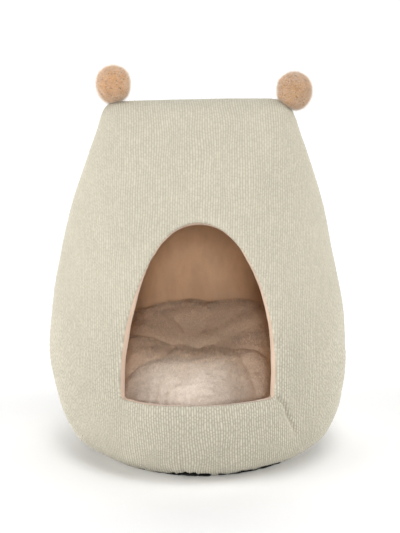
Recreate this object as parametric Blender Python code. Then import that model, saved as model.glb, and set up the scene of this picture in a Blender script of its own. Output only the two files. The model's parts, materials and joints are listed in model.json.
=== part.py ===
"""Cat dome: a padded knit tent with an arched doorway, two pompom ears and a tufted cushion.

The cover is cut as two padded panels, front and back, that meet along the side seams and along
a straight ridge, as in a tea cosy. A short-pile lining hangs inside them as one bag, a facing
strip covers the cut edge of the doorway, and a gathered base cloth closes the bottom.

Units are metres, +Z is up and the doorway faces -Y. The origin is the middle of the underside.
"""

from collections import namedtuple
from math import pi, radians

import bmesh
import bpy
import numpy as np

# ---------------------------------------------------------------- driving sizes

WALL = 0.015  # the padded knit wall, skin to skin
CLOTH = 0.002  # the lining and the facing strip
GAP = 0.0003  # left between touching pieces
JAMB = WALL + GAP + CLOTH  # depth of the doorway's cut edge

Level = namedtuple("Level", "height half_width half_depth shift")
COVER_LEVELS = (
    # shift is how far the level sits to the right: the padded wall slumps a little on that side
    Level(height=0.0030, half_width=0.1415, half_depth=0.1415, shift=0.0040),
    Level(height=0.0200, half_width=0.1720, half_depth=0.1720, shift=0.0035),
    Level(height=0.0500, half_width=0.1895, half_depth=0.1895, shift=0.0030),
    Level(height=0.0900, half_width=0.1985, half_depth=0.1980, shift=0.0015),
    Level(height=0.1350, half_width=0.2025, half_depth=0.2000, shift=0.0),
    Level(height=0.2000, half_width=0.1975, half_depth=0.1855, shift=-0.0008),
    Level(height=0.2700, half_width=0.1840, half_depth=0.1530, shift=-0.0018),
    Level(height=0.3400, half_width=0.1680, half_depth=0.1130, shift=-0.0006),
    Level(height=0.4000, half_width=0.1480, half_depth=0.0780, shift=0.0),
    Level(height=0.4350, half_width=0.1355, half_depth=0.0570, shift=0.0),
    Level(height=0.4550, half_width=0.1290, half_depth=0.0430, shift=-0.0005),
    Level(height=0.4660, half_width=0.1235, half_depth=0.0315, shift=-0.0015),
    Level(height=0.4730, half_width=0.1142, half_depth=0.0185, shift=-0.0027),
    Level(height=0.4757, half_width=0.0990, half_depth=0.0, shift=-0.0030),
)
CROWN = 0.35  # share of an ellipse in each level section, the rest is a stadium
RIDGE_TILT = 0.0022  # how much lower the ridge lies at its left end
RIDGE_TILT_BOTTOM = 0.360  # height at which that tilt sets in

DOOR_SILL = 0.1105  # lowest point of the doorway's outer edge
DOOR_TOP = 0.3300
DOOR_SPRING = 0.1250  # where the upright jambs turn into the arch
DOOR_HALF_WIDTH = 0.1012
DOOR_CORNER = 0.0070
DOOR_SILL_SAG = 0.0030
ARCH_POWER = 2.35  # 2 is an ellipse, more is a fuller arch
JAMB_FALL = 0.55  # share of the wall's backward lean that the cut edge follows
JAMB_TURN = 0.70  # share of the wall's sideways turn that the cut edge follows
SILL_FALL = 0.10  # how steeply the sill falls towards the inside
SILL_BLEND = 0.020  # height over which that fall dies out above the spring line
DOOR_PLUG_FRONT = -0.270  # where the tool that cuts the doorway begins and ends
DOOR_PLUG_BACK = -0.072

BASE_RIM = 0.1440  # radius of the base cloth's gathered edge
BASE_RIM_THICK = 0.0026
BASE_PAD_RADIUS = 0.1240
BASE_SHIFT = 0.0040  # the base follows the cover's lowest level to the right
BASE_PUCKERS = 16
BASE_PUCKER_DEPTH = 0.0014
BaseRing = namedtuple("BaseRing", "radius height gather")  # gather: share of the puckers it takes

CUSHION_FLOOR_RADIUS = 0.1180
CUSHION_RADIUS = 0.1640
CUSHION_GIRTH_HEIGHT = 0.0850  # where it is widest
CUSHION_CREST_RADIUS = 0.0850  # of the ring of lobes in front
CUSHION_CREST = 0.1450  # height of the lobes in front
CUSHION_BACK_REACH = 0.0420  # how much further out the lobes crest against the back wall
CUSHION_BACK_RISE = 0.0300  # and how much higher
CUSHION_TUFT = 0.1275  # height of the sewn-down middle
CUSHION_BACK_BIAS = 1.5  # more keeps the higher lobes closer to the back
CUSHION_SIDE_CREASE = 0.35  # share of a crease's depth that still shows on the side
Crease = namedtuple("Crease", "bearing depth spread")
CUSHION_CREASES = (
    # bearing is measured anticlockwise from +X, spread is the half width of the valley
    Crease(bearing=radians(-127), depth=0.013, spread=radians(17)),
    Crease(bearing=radians(-58), depth=0.010, spread=radians(15)),
    Crease(bearing=radians(-25), depth=0.012, spread=radians(15)),
    Crease(bearing=radians(72), depth=0.013, spread=radians(16)),
    Crease(bearing=radians(108), depth=0.012, spread=radians(14)),
    Crease(bearing=radians(176), depth=0.014, spread=radians(17)),
)

POMPOM_RADIUS = 0.0245
POMPOM_HEIGHT_SHARE = 1.03  # a little taller than wide
Ear = namedtuple("Ear", "name lean slide press")
EARS = (
    # lean is how far the pompom tips to the right of upright, slide is how far it sits to the right
    # of the cover's corner that it is sewn to, and press is how much of it is pushed flat there
    Ear(name="pompom_left", lean=radians(-7), slide=-0.0076, press=0.0030),
    Ear(name="pompom_right", lean=radians(37), slide=0.0075, press=0.0050),
)

# ---------------------------------------------------------------- fineness of the meshes

PROFILE_STEPS = 240
COLUMNS = 23
ROWS = 16
ROW_CROWDING = 0.55  # how much the rows gather at the hem and at the ridge
DOOR_POINTS = 44
BASE_STEPS = 64
CUSHION_STEPS = 48

COLOURS = {
    # name: (red, green, blue, roughness)
    "knit": (0.68, 0.64, 0.50, 0.95),
    "lining": (0.72, 0.50, 0.36, 0.90),
    "plush": (0.66, 0.52, 0.43, 0.95),
    "felt": (0.62, 0.38, 0.22, 0.98),
    "base": (0.012, 0.012, 0.011, 0.85),
}


# ---------------------------------------------------------------- the cover's form


def smooth_rows(rows, steps):
    """A smooth curve through the rows of a table: each stretch is a cubic whose end slopes are
    taken from the rows on either side. Returns steps points, spaced evenly along the rows."""
    rows = np.array(rows, dtype=float)
    reach = np.concatenate([[0.0], np.cumsum(np.linalg.norm(np.diff(rows, axis=0), axis=1))])
    mirrored = rows[-2] * np.array([1.0, 1.0, -1.0, 1.0])
    last_reach = 2.0 * reach[-1] - reach[-2]
    padded_rows = np.vstack([2.0 * rows[0] - rows[1], rows, mirrored])
    padded_reach = np.concatenate([[reach[0] - reach[1]], reach, [last_reach]])
    slopes = (padded_rows[2:] - padded_rows[:-2]) / (padded_reach[2:] - padded_reach[:-2])[:, None]
    at = np.linspace(0.0, reach[-1], steps)
    k = np.clip(np.searchsorted(reach, at, side="right") - 1, 0, len(rows) - 2)
    span = (reach[k + 1] - reach[k])[:, None]
    t = (at - reach[k])[:, None] / span
    start = (2 * t**3 - 3 * t**2 + 1) * rows[k] + (t**3 - 2 * t**2 + t) * span * slopes[k]
    end = (3 * t**2 - 2 * t**3) * rows[k + 1] + (t**3 - t**2) * span * slopes[k + 1]
    return start + end


OUTER_PROFILE = smooth_rows(COVER_LEVELS, PROFILE_STEPS)


def inward(heights, widths, depth):
    """Moves a side profile inwards by depth, square to itself."""
    run = np.gradient(widths)
    rise = np.gradient(heights)
    length = np.hypot(run, rise)
    return heights + depth * run / length, widths - depth * rise / length


def profile(depth):
    """Heights, half widths, half depths and shifts of the form that lies depth inside the skin."""
    heights, half_widths, half_depths, shifts = OUTER_PROFILE.T
    if depth == 0.0:
        return heights, half_widths, half_depths, shifts
    side_heights, sides = inward(heights, half_widths, depth)
    front_heights, fronts = inward(heights, half_depths, depth)
    bottom = max(side_heights[0], front_heights[0])
    levels = bottom + (heights[-1] - depth - bottom) * (heights - heights[0]) / (heights[-1] - heights[0])
    half_widths = np.interp(levels, side_heights, sides)
    half_depths = np.interp(levels, front_heights, fronts)
    half_depths[-1] = 0.0
    return levels, half_widths, half_depths, np.interp(levels, heights, shifts)


def half_section(s, half_width, half_depth):
    """Front half of one level section: s runs from -1 at the left seam to 1 at the right one.
    A stadium, walked at an even pace, is mixed with an ellipse."""
    radius = np.maximum(np.minimum(half_depth, half_width), 1e-7)
    straight = half_width - radius
    reach = np.abs(s) * (straight + radius * pi / 2)
    turn = np.clip((reach - straight) / radius, 0.0, pi / 2)
    stadium_x = np.minimum(reach, straight) + radius * np.sin(turn)
    stadium_y = radius * np.cos(turn)
    ellipse_x = half_width * np.sin(np.abs(s) * pi / 2)
    ellipse_y = half_depth * np.cos(s * pi / 2)
    x = (1 - CROWN) * stadium_x + CROWN * ellipse_x
    y = (1 - CROWN) * stadium_y + CROWN * ellipse_y
    return np.sign(s) * x, np.where(half_depth > 0, y, 0.0)


def bag_floor(depth):
    """Height of the lowest row of the form that lies depth inside the skin."""
    return profile(depth)[0][0]


def settle(points):
    """The ridge hangs a little lower at its left end."""
    top = COVER_LEVELS[-1]
    share = np.clip((points[..., 2] - RIDGE_TILT_BOTTOM) / (top.height - RIDGE_TILT_BOTTOM), 0.0, 1.0)
    sideways = np.clip(points[..., 0] / top.half_width, -1.0, 0.4)
    points[..., 2] += RIDGE_TILT * share * sideways
    return points


def form_points(depth, side, columns, rows):
    """Grid of points, rows by columns, on one half of the form depth inside the skin.
    side is -1 for the front half and 1 for the back half. Rows crowd towards both ends."""
    even = np.linspace(0.0, 1.0, rows)
    crowded = (1 - np.cos(even * pi)) / 2
    place = (even + ROW_CROWDING * (crowded - even)) * (PROFILE_STEPS - 1)
    index = np.arange(PROFILE_STEPS)
    height, width, depth_at, shift = (np.interp(place, index, c)[:, None] for c in profile(depth))
    s = np.linspace(-1.0, 1.0, columns)[None, :]
    x, y = half_section(s, width, depth_at)
    return settle(np.stack([x + shift, side * y, height + 0 * s], axis=-1))


# ---------------------------------------------------------------- the doorway's edge


def door_outline(count):
    """Evenly spaced points (x, z) round the doorway's outer edge as seen from the front:
    a sagging sill, rounded lower corners, upright jambs and a full arch."""
    turn = np.linspace(0.0, pi, 121)
    rise = DOOR_TOP - DOOR_SPRING
    arch_x = DOOR_HALF_WIDTH * np.cos(turn)
    arch_z = DOOR_SPRING + rise * np.sin(turn) ** (2 / ARCH_POWER)
    corner_middle = DOOR_HALF_WIDTH - DOOR_CORNER
    sweep = np.linspace(0.0, pi / 2, 7)
    sill_x = np.linspace(-corner_middle, corner_middle, 25)[1:-1]
    sill_z = DOOR_SILL + DOOR_SILL_SAG * (sill_x / corner_middle) ** 2
    corner_low = DOOR_SILL + DOOR_SILL_SAG
    left_x = -corner_middle - DOOR_CORNER * np.cos(sweep)
    left_z = corner_low + DOOR_CORNER * (1 - np.sin(sweep))
    x = np.concatenate([arch_x, left_x, sill_x, -left_x[::-1]])
    z = np.concatenate([arch_z, left_z, sill_z, left_z[::-1]])
    reach = np.concatenate([[0.0], np.cumsum(np.hypot(np.diff(x), np.diff(z)))])
    whole = reach[-1] + np.hypot(x[0] - x[-1], z[0] - z[-1])
    at = np.arange(count) * whole / count
    x = np.interp(at, np.append(reach, whole), np.append(x, x[0]))
    z = np.interp(at, np.append(reach, whole), np.append(z, z[0]))
    return x, z


def front_skin(x, z):
    """The y of the outer skin's front at each x and height z."""
    levels, *measures = profile(0.0)
    s = np.linspace(-1.0, 1.0, 401)
    found = np.empty_like(x)
    for i, (across, height) in enumerate(zip(x, z)):
        width, depth, shift = (np.interp(height, levels, measure) for measure in measures)
        section_x, section_y = half_section(s, width, depth)
        found[i] = -np.interp(across - shift, section_x, section_y)
    return found


def door_frame(count):
    """The doorway's edge on the skin, the direction in which the cut runs inwards at each point,
    and the direction that points into the opening, square to the cut."""
    x, z = door_outline(count)
    y = front_skin(x, z)
    step = 0.002
    slope_x = (front_skin(x + step, z) - front_skin(x - step, z)) / (2 * step)
    slope_z = (front_skin(x, z + step) - front_skin(x, z - step)) / (2 * step)
    near_sill = np.clip((DOOR_SPRING + SILL_BLEND - z) / SILL_BLEND, 0.0, 1.0)
    fall = JAMB_FALL * slope_z + SILL_FALL * near_sill
    into_wall = np.stack([-JAMB_TURN * slope_x, np.ones_like(x), -fall], axis=-1)
    into_wall /= np.linalg.norm(into_wall, axis=1)[:, None]
    edge = np.stack([x, y, z], axis=-1)
    along = np.roll(edge, -1, axis=0) - np.roll(edge, 1, axis=0)
    into_door = np.cross(along, into_wall)
    into_door /= np.linalg.norm(into_door, axis=1)[:, None]
    middle = np.array([0.0, y.mean(), (DOOR_SILL + DOOR_TOP) / 2])
    into_door *= np.sign(np.sum(into_door * (middle - edge), axis=1))[:, None]
    return edge, into_wall, into_door


# ---------------------------------------------------------------- mesh helpers


def new_object(name, vertices, faces, colour):
    """A closed mesh object with its faces pointing outwards and its own material."""
    mesh = bpy.data.meshes.new(name)
    mesh.from_pydata([tuple(v) for v in vertices], [], faces)
    work = bmesh.new()
    work.from_mesh(mesh)
    bmesh.ops.remove_doubles(work, verts=work.verts, dist=0.00002)
    bmesh.ops.recalc_face_normals(work, faces=work.faces)
    work.to_mesh(mesh)
    work.free()
    mesh.shade_smooth()
    mesh.set_sharp_from_angle(angle=radians(50))
    piece = bpy.data.objects.new(name, mesh)
    bpy.context.scene.collection.objects.link(piece)
    piece.data.materials.append(cloth_material(name, colour))
    return piece


def cloth_material(name, colour):
    red, green, blue, roughness = COLOURS[colour]
    material = bpy.data.materials.new(name + "_" + colour)
    material.use_nodes = True
    shader = material.node_tree.nodes["Principled BSDF"]
    shader.inputs["Base Color"].default_value = (red, green, blue, 1.0)
    shader.inputs["Roughness"].default_value = roughness
    shader.inputs["Metallic"].default_value = 0.0
    return material


def grid_faces(rows, columns, first=0, closed=False):
    """Triangles of a grid whose vertices are numbered row by row from first. Matching squares of
    two grids are split the same way, so the two stay an even distance apart. The splits lean
    outwards from the middle column, which keeps the corners of the ridge from folding flat."""
    faces = []
    last = columns if closed else columns - 1
    for row in range(rows - 1):
        for column in range(last):
            a = first + row * columns + column
            b = first + row * columns + (column + 1) % columns
            d, c = a + columns, b + columns
            if column < columns // 2:
                faces += [(a, b, d), (b, c, d)]
            else:
                faces += [(a, b, c), (a, c, d)]
    return faces


def turned_object(name, grid, colour):
    """A closed body from rings of points, its first and last ring closed by a fan."""
    rings, steps = grid.shape[:2]
    vertices = [*grid.reshape(-1, 3), grid[0].mean(axis=0), grid[-1].mean(axis=0)]
    faces = grid_faces(rings, steps, closed=True)
    low = rings * steps
    for k in range(steps):
        following = (k + 1) % steps
        top = (rings - 1) * steps
        faces.append((following, k, low))
        faces.append((top + k, top + following, low + 1))
    return new_object(name, vertices, faces, colour)


def hide_as_tool(piece):
    piece.hide_render = True
    piece.display_type = "WIRE"


def cut(piece, tool):
    modifier = piece.modifiers.new("cut_" + tool.name, "BOOLEAN")
    modifier.operation = "DIFFERENCE"
    modifier.solver = "EXACT"
    modifier.object = tool


# ---------------------------------------------------------------- the pieces


def padded_panel(name, side):
    """One padded panel of the cover: outer skin, inner skin and the sewn edges between them."""
    outer = form_points(0.0, side, COLUMNS, ROWS)
    inner = form_points(WALL, side, COLUMNS, ROWS)
    shift = np.array([0.0, side * GAP / 2, 0.0])
    vertices = np.concatenate([outer.reshape(-1, 3), inner.reshape(-1, 3)]) + shift
    count = COLUMNS * ROWS
    faces = grid_faces(ROWS, COLUMNS)
    faces += [face[::-1] for face in grid_faces(ROWS, COLUMNS, first=count)]
    bottom = list(range(COLUMNS))
    top = [(ROWS - 1) * COLUMNS + k for k in bottom]
    left = [row * COLUMNS for row in range(ROWS)]
    right = [row * COLUMNS + COLUMNS - 1 for row in range(ROWS)]
    for border in (bottom, top, left, right):
        for a, b in zip(border[:-1], border[1:]):
            faces.append((a, b, b + count, a + count))
    return new_object(name, vertices, faces, "knit")


def bag_form(name, depth):
    """The closed form that lies depth inside the skin: two halves joined over the ridge, and a
    flat floor at the height of their lowest row."""
    halves = [form_points(depth, side, COLUMNS, ROWS).reshape(-1, 3) for side in (-1, 1)]
    count = ROWS * COLUMNS
    faces = grid_faces(ROWS, COLUMNS)
    faces += [face[::-1] for face in grid_faces(ROWS, COLUMNS, first=count)]
    rim = list(range(COLUMNS)) + [count + k for k in range(COLUMNS - 2, 0, -1)]
    middle = 2 * count
    vertices = np.vstack([*halves, [0.0, 0.0, halves[0][0, 2]]])
    faces += [(b, a, middle) for a, b in zip(rim, rim[1:] + rim[:1])]
    return new_object(name, vertices, faces, "lining")


def doorway_tool(edge, into_wall):
    """The hole for the doorway: a plug through the front wall whose sides follow the cut edge,
    carried on to a flat end in front of the wall and to another inside the dome."""
    ahead = (DOOR_PLUG_FRONT - edge[:, 1]) / into_wall[:, 1]
    behind = (DOOR_PLUG_BACK - edge[:, 1]) / into_wall[:, 1]
    jamb = np.full(len(edge), JAMB)
    rings = [edge + into_wall * reach[:, None] for reach in (ahead, 0 * jamb, jamb, behind)]
    count = len(edge)
    faces = grid_faces(len(rings), count, closed=True)
    last = (len(rings) - 1) * count
    faces += [tuple(range(count))[::-1], tuple(range(last, last + count))]
    tool = new_object("doorway_tool", np.concatenate(rings), faces, "lining")
    hide_as_tool(tool)
    return tool


def door_facing(edge, into_wall, into_door):
    """The strip that covers the wall's cut edge, from the knit skin to the lining's inner side."""
    corners = ((0.0, GAP), (JAMB, GAP), (JAMB, GAP + CLOTH), (0.0, GAP + CLOTH))
    rings = [edge + into_wall * depth + into_door * inset for depth, inset in corners]
    count = len(edge)
    faces = grid_faces(len(rings), count, closed=True)
    last = (len(rings) - 1) * count
    for k in range(count):
        following = (k + 1) % count
        faces.append((last + k, last + following, following, k))
    return new_object("door_facing", np.concatenate(rings), faces, "lining")


def base_cloth():
    """The base: a thin gathered rim that shows under the cover, and the pad that it holds."""
    turn = np.linspace(0.0, 2 * pi, BASE_STEPS, endpoint=False)
    pucker = np.sin(BASE_PUCKERS * turn) * (0.6 + 0.4 * np.sin(3 * turn + 0.7))
    step = BASE_RIM_THICK
    top = bag_floor(WALL + GAP) - GAP
    outline = (
        BaseRing(radius=BASE_RIM - 0.0030, height=0.0, gather=0.6),
        BaseRing(radius=BASE_RIM, height=step * 0.45, gather=1.0),
        BaseRing(radius=BASE_RIM - 0.0012, height=step, gather=1.0),
        BaseRing(radius=BASE_PAD_RADIUS + 0.0050, height=step, gather=0.0),
        BaseRing(radius=BASE_PAD_RADIUS, height=top - 0.0040, gather=0.0),
        BaseRing(radius=BASE_PAD_RADIUS - 0.0060, height=top, gather=0.0),
    )
    rings = []
    for ring in outline:
        reach = ring.radius + BASE_PUCKER_DEPTH * ring.gather * pucker
        x = BASE_SHIFT + reach * np.cos(turn)
        rings.append(np.stack([x, reach * np.sin(turn), np.full_like(turn, ring.height)], axis=-1))
    return turned_object("base_cloth", np.array(rings), "base")


def crease_depths(turn, width=1.0):
    """How deep the creases are at each bearing, every crease a soft valley of its own spread."""
    total = 0.0 * turn
    for crease in CUSHION_CREASES:
        away = np.abs((turn - crease.bearing + pi) % (2 * pi) - pi)
        total += crease.depth * np.exp(-((away / (width * crease.spread)) ** 2))
    return total


def cushion():
    """The loose round cushion: one stuffed form, sewn down in the middle and creased into lobes
    that crest further out and higher at the back, its sides swelling out over the bag's floor."""
    turn = np.linspace(0.0, 2 * pi, CUSHION_STEPS, endpoint=False)
    across = np.cos(turn)
    along = np.sin(turn)
    floor = bag_floor(JAMB) + GAP
    back = (0.5 + 0.5 * along) ** CUSHION_BACK_BIAS
    crest_radius = CUSHION_CREST_RADIUS + CUSHION_BACK_REACH * back
    crest = CUSHION_CREST + CUSHION_BACK_RISE * back
    valley = crease_depths(turn)
    girth = CUSHION_RADIUS - CUSHION_SIDE_CREASE * crease_depths(turn, 0.7)
    rings = []
    for share in np.linspace(0.12, 1.0, 6):
        rise = np.sin(share * pi / 2) ** 0.75
        height = CUSHION_TUFT + (crest - CUSHION_TUFT) * rise - valley * np.sin(share * pi * 0.62)
        rings.append((share * crest_radius, height))
    edge = rings[-1][1]
    for angle in np.linspace(0.0, pi / 2, 6)[1:]:
        reach = crest_radius + (girth - crest_radius) * np.sin(angle)
        rings.append((reach, CUSHION_GIRTH_HEIGHT + (edge - CUSHION_GIRTH_HEIGHT) * np.cos(angle)))
    for angle in np.linspace(0.0, pi / 2, 5)[1:]:
        reach = CUSHION_FLOOR_RADIUS + (girth - CUSHION_FLOOR_RADIUS) * np.cos(angle)
        rings.append((reach, floor + (CUSHION_GIRTH_HEIGHT - floor) * (1 - np.sin(angle)) + 0 * turn))
    grid = [np.stack([reach * across, reach * along, height], axis=-1) for reach, height in rings]
    return turned_object("cushion", np.array(grid[::-1]), "plush")


def ridge_outline():
    """Points (x, z) of the cover's outline as seen from the front, from hem to hem."""
    grid = form_points(0.0, -1, COLUMNS, ROWS)
    return np.concatenate([grid[:, 0], grid[-1], grid[::-1, -1]])[:, [0, 2]]


def pompom(ear):
    """One felted ball, slightly taller than wide, pressed flat where it is sewn to the ridge."""
    work = bmesh.new()
    bmesh.ops.create_uvsphere(work, u_segments=18, v_segments=10, radius=POMPOM_RADIUS)
    points = np.array([vertex.co for vertex in work.verts])
    work.verts.index_update()
    faces = [tuple(vertex.index for vertex in face.verts) for face in work.faces]
    work.free()
    reach = POMPOM_RADIUS * POMPOM_HEIGHT_SHARE
    points *= np.array([1.0, 1.0, POMPOM_HEIGHT_SHARE])
    points[:, 2] = np.maximum(points[:, 2], ear.press - reach)
    away = np.array([np.sin(ear.lean), np.cos(ear.lean)])
    along = np.array([away[1], -away[0]])
    outline = ridge_outline()
    corner = outline[np.argmax(outline @ away)]
    middle = corner + (GAP + reach - ear.press) * away + ear.slide * along
    piece = new_object(ear.name, points, faces, "felt")
    piece.rotation_euler = (0.0, ear.lean, 0.0)
    piece.location = (middle[0], 0.0, middle[1])
    return piece


def main():
    for old in list(bpy.data.objects):
        bpy.data.objects.remove(old, do_unlink=True)
    edge, into_wall, into_door = door_frame(DOOR_POINTS)
    doorway = doorway_tool(edge, into_wall)

    front = padded_panel("front_panel", -1)
    cut(front, doorway)
    padded_panel("back_panel", 1)

    lining = bag_form("lining", WALL + GAP)
    hollow = bag_form("lining_hollow", JAMB)
    hide_as_tool(hollow)
    cut(lining, hollow)
    cut(lining, doorway)

    door_facing(edge, into_wall, into_door)
    base_cloth()
    cushion()
    for ear in EARS:
        pompom(ear)


main()
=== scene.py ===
"""Cat dome: knit cover, velvet lining, plush cushion and felted ears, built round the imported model.

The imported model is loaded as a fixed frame. Every piece here is a surface worked out from the same
table of levels as the model's own solids, in metres, with +Z up and the doorway facing -Y.
"""

import json
from collections import namedtuple
from math import cos, pi, radians, sin

import bpy
import numpy as np
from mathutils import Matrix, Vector

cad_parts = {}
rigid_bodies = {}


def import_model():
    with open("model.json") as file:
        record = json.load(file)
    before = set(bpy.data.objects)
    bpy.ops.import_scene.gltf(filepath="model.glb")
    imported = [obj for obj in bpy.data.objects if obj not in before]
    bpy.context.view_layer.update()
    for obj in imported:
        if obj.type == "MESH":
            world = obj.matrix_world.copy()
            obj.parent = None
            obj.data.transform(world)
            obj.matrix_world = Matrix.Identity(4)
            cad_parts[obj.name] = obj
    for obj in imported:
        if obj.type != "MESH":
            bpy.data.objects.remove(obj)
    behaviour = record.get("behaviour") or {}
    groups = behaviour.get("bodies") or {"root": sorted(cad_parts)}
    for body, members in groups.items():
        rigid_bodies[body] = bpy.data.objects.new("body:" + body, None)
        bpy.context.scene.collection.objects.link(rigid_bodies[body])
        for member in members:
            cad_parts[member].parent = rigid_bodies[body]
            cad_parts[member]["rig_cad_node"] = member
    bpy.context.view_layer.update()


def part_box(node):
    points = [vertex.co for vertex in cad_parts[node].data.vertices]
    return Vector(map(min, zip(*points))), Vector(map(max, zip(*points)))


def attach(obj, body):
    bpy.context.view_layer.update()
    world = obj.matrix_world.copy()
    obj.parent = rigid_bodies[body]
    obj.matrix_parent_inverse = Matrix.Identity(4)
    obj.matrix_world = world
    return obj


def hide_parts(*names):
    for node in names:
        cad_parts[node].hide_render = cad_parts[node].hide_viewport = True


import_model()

bl_info = {
    "name": "Cat dome",
    "version": (1, 0, 0),
    "blender": (4, 5, 0),
    "location": "3D View > Sidebar > Cat dome",
    "description": "A padded knit cat dome with a lining, a cushion and two pompom ears",
    "category": "Add Mesh",
}

WHITE = (1.0, 1.0, 1.0)

# ---------------------------------------------------------------- how fine the pieces are made

PROFILE_STEPS = 240  # levels of a skin from the floor to the ridge
SECTION_STEPS = 401  # points that half a level section is worked out with
SKIN_COLUMNS = 193  # points of it that a skin keeps
DOOR_STEPS = 360  # points round the doorway's edge
HOLE_REACH = 0.01  # a hole's cut is looked for in the cloth no further round it than this
ROWS_PER_NUB = 3
KNIT_ROLL_RINGS = 6  # of the knit's turned edge
KNIT_INNER_STEP = 0.011  # between the points of a panel's hidden inner side
LINING_STEP = 0.0050  # between the lining's points across
LINING_ROW = 0.0052  # and up
FACING_COUNT = 300
BASE_STEPS = 540
CUSHION_STEPS = 144
BALL_ROWS = 72
BALL_COLUMNS = 120
RIPPLE_WAVES = 14  # plane waves that a ripple is made of

# ---------------------------------------------------------------- sizes shared with the solids

WALL = 0.015  # the padded knit wall, skin to skin
CLOTH = 0.002  # the lining and the facing strip
GAP = 0.0003  # left between touching pieces
JAMB = WALL + GAP + CLOTH  # depth of the doorway's cut edge

COVER_LEVELS = np.array(
    [
        # height, half width, half depth, shift to the right
        (0.0030, 0.1415, 0.1415, 0.0040),
        (0.0200, 0.1720, 0.1720, 0.0035),
        (0.0500, 0.1895, 0.1895, 0.0030),
        (0.0900, 0.1985, 0.1980, 0.0015),
        (0.1350, 0.2025, 0.2000, 0.0),
        (0.2000, 0.1975, 0.1855, -0.0008),
        (0.2700, 0.1840, 0.1530, -0.0018),
        (0.3400, 0.1680, 0.1130, -0.0006),
        (0.4000, 0.1480, 0.0780, 0.0),
        (0.4350, 0.1355, 0.0570, 0.0),
        (0.4550, 0.1290, 0.0430, -0.0005),
        (0.4660, 0.1235, 0.0315, -0.0015),
        (0.4730, 0.1142, 0.0185, -0.0027),
        (0.4757, 0.0990, 0.0, -0.0030),
    ]
)
CROWN = 0.35  # share of an ellipse in each level section, the rest is a stadium
RIDGE_TILT = 0.0022  # how much lower the ridge lies at its left end
RIDGE_TILT_BOTTOM = 0.360  # height at which that tilt sets in

DOOR_SILL = 0.1105  # lowest point of the doorway's outer edge
DOOR_TOP = 0.3300
DOOR_SPRING = 0.1250  # where the upright jambs turn into the arch
DOOR_HALF_WIDTH = 0.1012
DOOR_CORNER = 0.0070
DOOR_SILL_SAG = 0.0030
DOOR_CENTRE = (0.0, (DOOR_SILL + DOOR_TOP) / 2)  # across and height
ARCH_POWER = 2.35  # 2 is an ellipse, more is a fuller arch
JAMB_FALL = 0.55  # share of the wall's backward lean that the cut edge follows
JAMB_TURN = 0.70  # share of the wall's sideways turn that the cut edge follows
SILL_FALL = 0.32  # how steeply the sill falls towards the inside, steeper than in the solids
SILL_BLEND = 0.020  # height over which that fall dies out above the spring line

BASE_RIM = 0.1440  # radius of the base cloth's gathered edge
BASE_RIM_THICK = 0.0026
BASE_PAD_RADIUS = 0.1240  # of the pad that the base cloth holds
BASE_SHIFT = 0.0040  # how far the base sits to the right

CUSHION_FLOOR_RADIUS = 0.1180
CUSHION_GIRTH_HEIGHT = 0.0850  # where it is widest
CUSHION_TUFT = 0.1340  # height of the sewn-down middle, higher than in the solids

# ---------------------------------------------------------------- sizes of the knit cover

KNIT_SEAM_DEPTH = 0.0013  # how far the sewn edges of the cover are drawn in
KNIT_SEAM_WIDTH = 0.0045
COVER_RIPPLE = 0.0005  # how uneven the padding is
KNIT_SWAY = 0.0007  # how far the wales stray sideways
KNIT_CALM = 0.03  # way from a rim over which the sway and the unevenness grow
RELIEF_SEAM = 0.003  # way from a seam over which the nubs grow
RELIEF_HEM = 0.004  # and up from the hem
KNIT_DRAW = 0.0024  # how far the padding sinks towards the doorway's edge
KNIT_DRAW_WIDTH = 0.0095
KNIT_ROLL = 0.0034  # how far from the doorway's edge the knit begins to turn in
KNIT_LIP = 0.0013  # how far the turned knit stands into the doorway
KNIT_ROLL_DEPTH = 0.0036
KNIT_UNDERSIDE = 0.0004  # how far the hidden underside of the turned edge runs on
SLACK = 0.5  # how much more the nubs stand out low down, as a share
SLACK_TOP = 0.30  # how far up the cloth that begins
SLACK_REACH = 0.12  # way down the cloth over which it grows to the full
RIM_CENTRE = (0.0, 0.23)  # across and height of the point that a panel's edge goes round
BAKE_WIDTH = 0.70  # metres of cloth across the whole bake map
INNER_SHARE = 0.2  # how small the hidden inner side is drawn there
INNER_ROW = 0.62  # where it lies up the map, in metres of cloth
RIM_ROW = 0.660  # where the band round a panel's rim lies
DOOR_ROW = 0.670  # where the band round the doorway lies
BAND_SPOT = (0.3, 0.005)  # how large such a band is drawn
PANELS = (
    # name, node that it replaces, side
    ("cover_front", "front_panel", -1),
    ("cover_back", "back_panel", 1),
)

RIB_POWER = 0.67  # less makes the ribs broader and flatter
NUB_POWER = 0.72  # less makes the nubs blunter
NUB_PINCH = 0.20  # share of a rib's height that is left between two nubs
NUB_WAVES = (
    # how many nubs the spacing runs ahead and behind, rate up the cloth, rate from wale to wale
    (0.30, 237.0, 2.23),
    (0.12, 403.0, 4.1),
)
NUB_JUMP = 4.0  # how far those waves are shifted from wale to wale, in radians
NUB_STRENGTH = 0.85  # mean strength of a nub
NUB_SPREAD = 0.15  # how far a nub's strength lies from the mean
NUB_SHUFFLE = (2.1, 4.7, 3.0, 1.37)  # rates of the sines that share out those strengths
WALE_STRENGTH = 0.88  # mean strength of a wale
WALE_SPREAD = 0.12
WALE_SHUFFLE = 3.3

CREASE_PATH = (
    # metres across and up the cloth
    (0.1051, 0.1381),
    (0.1145, 0.1280),
    (0.1200, 0.1100),
    (0.1277, 0.0966),
    (0.1378, 0.0657),
)
CREASE_DEPTH = 0.0042
CREASE_WIDTH = 0.0030

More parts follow.
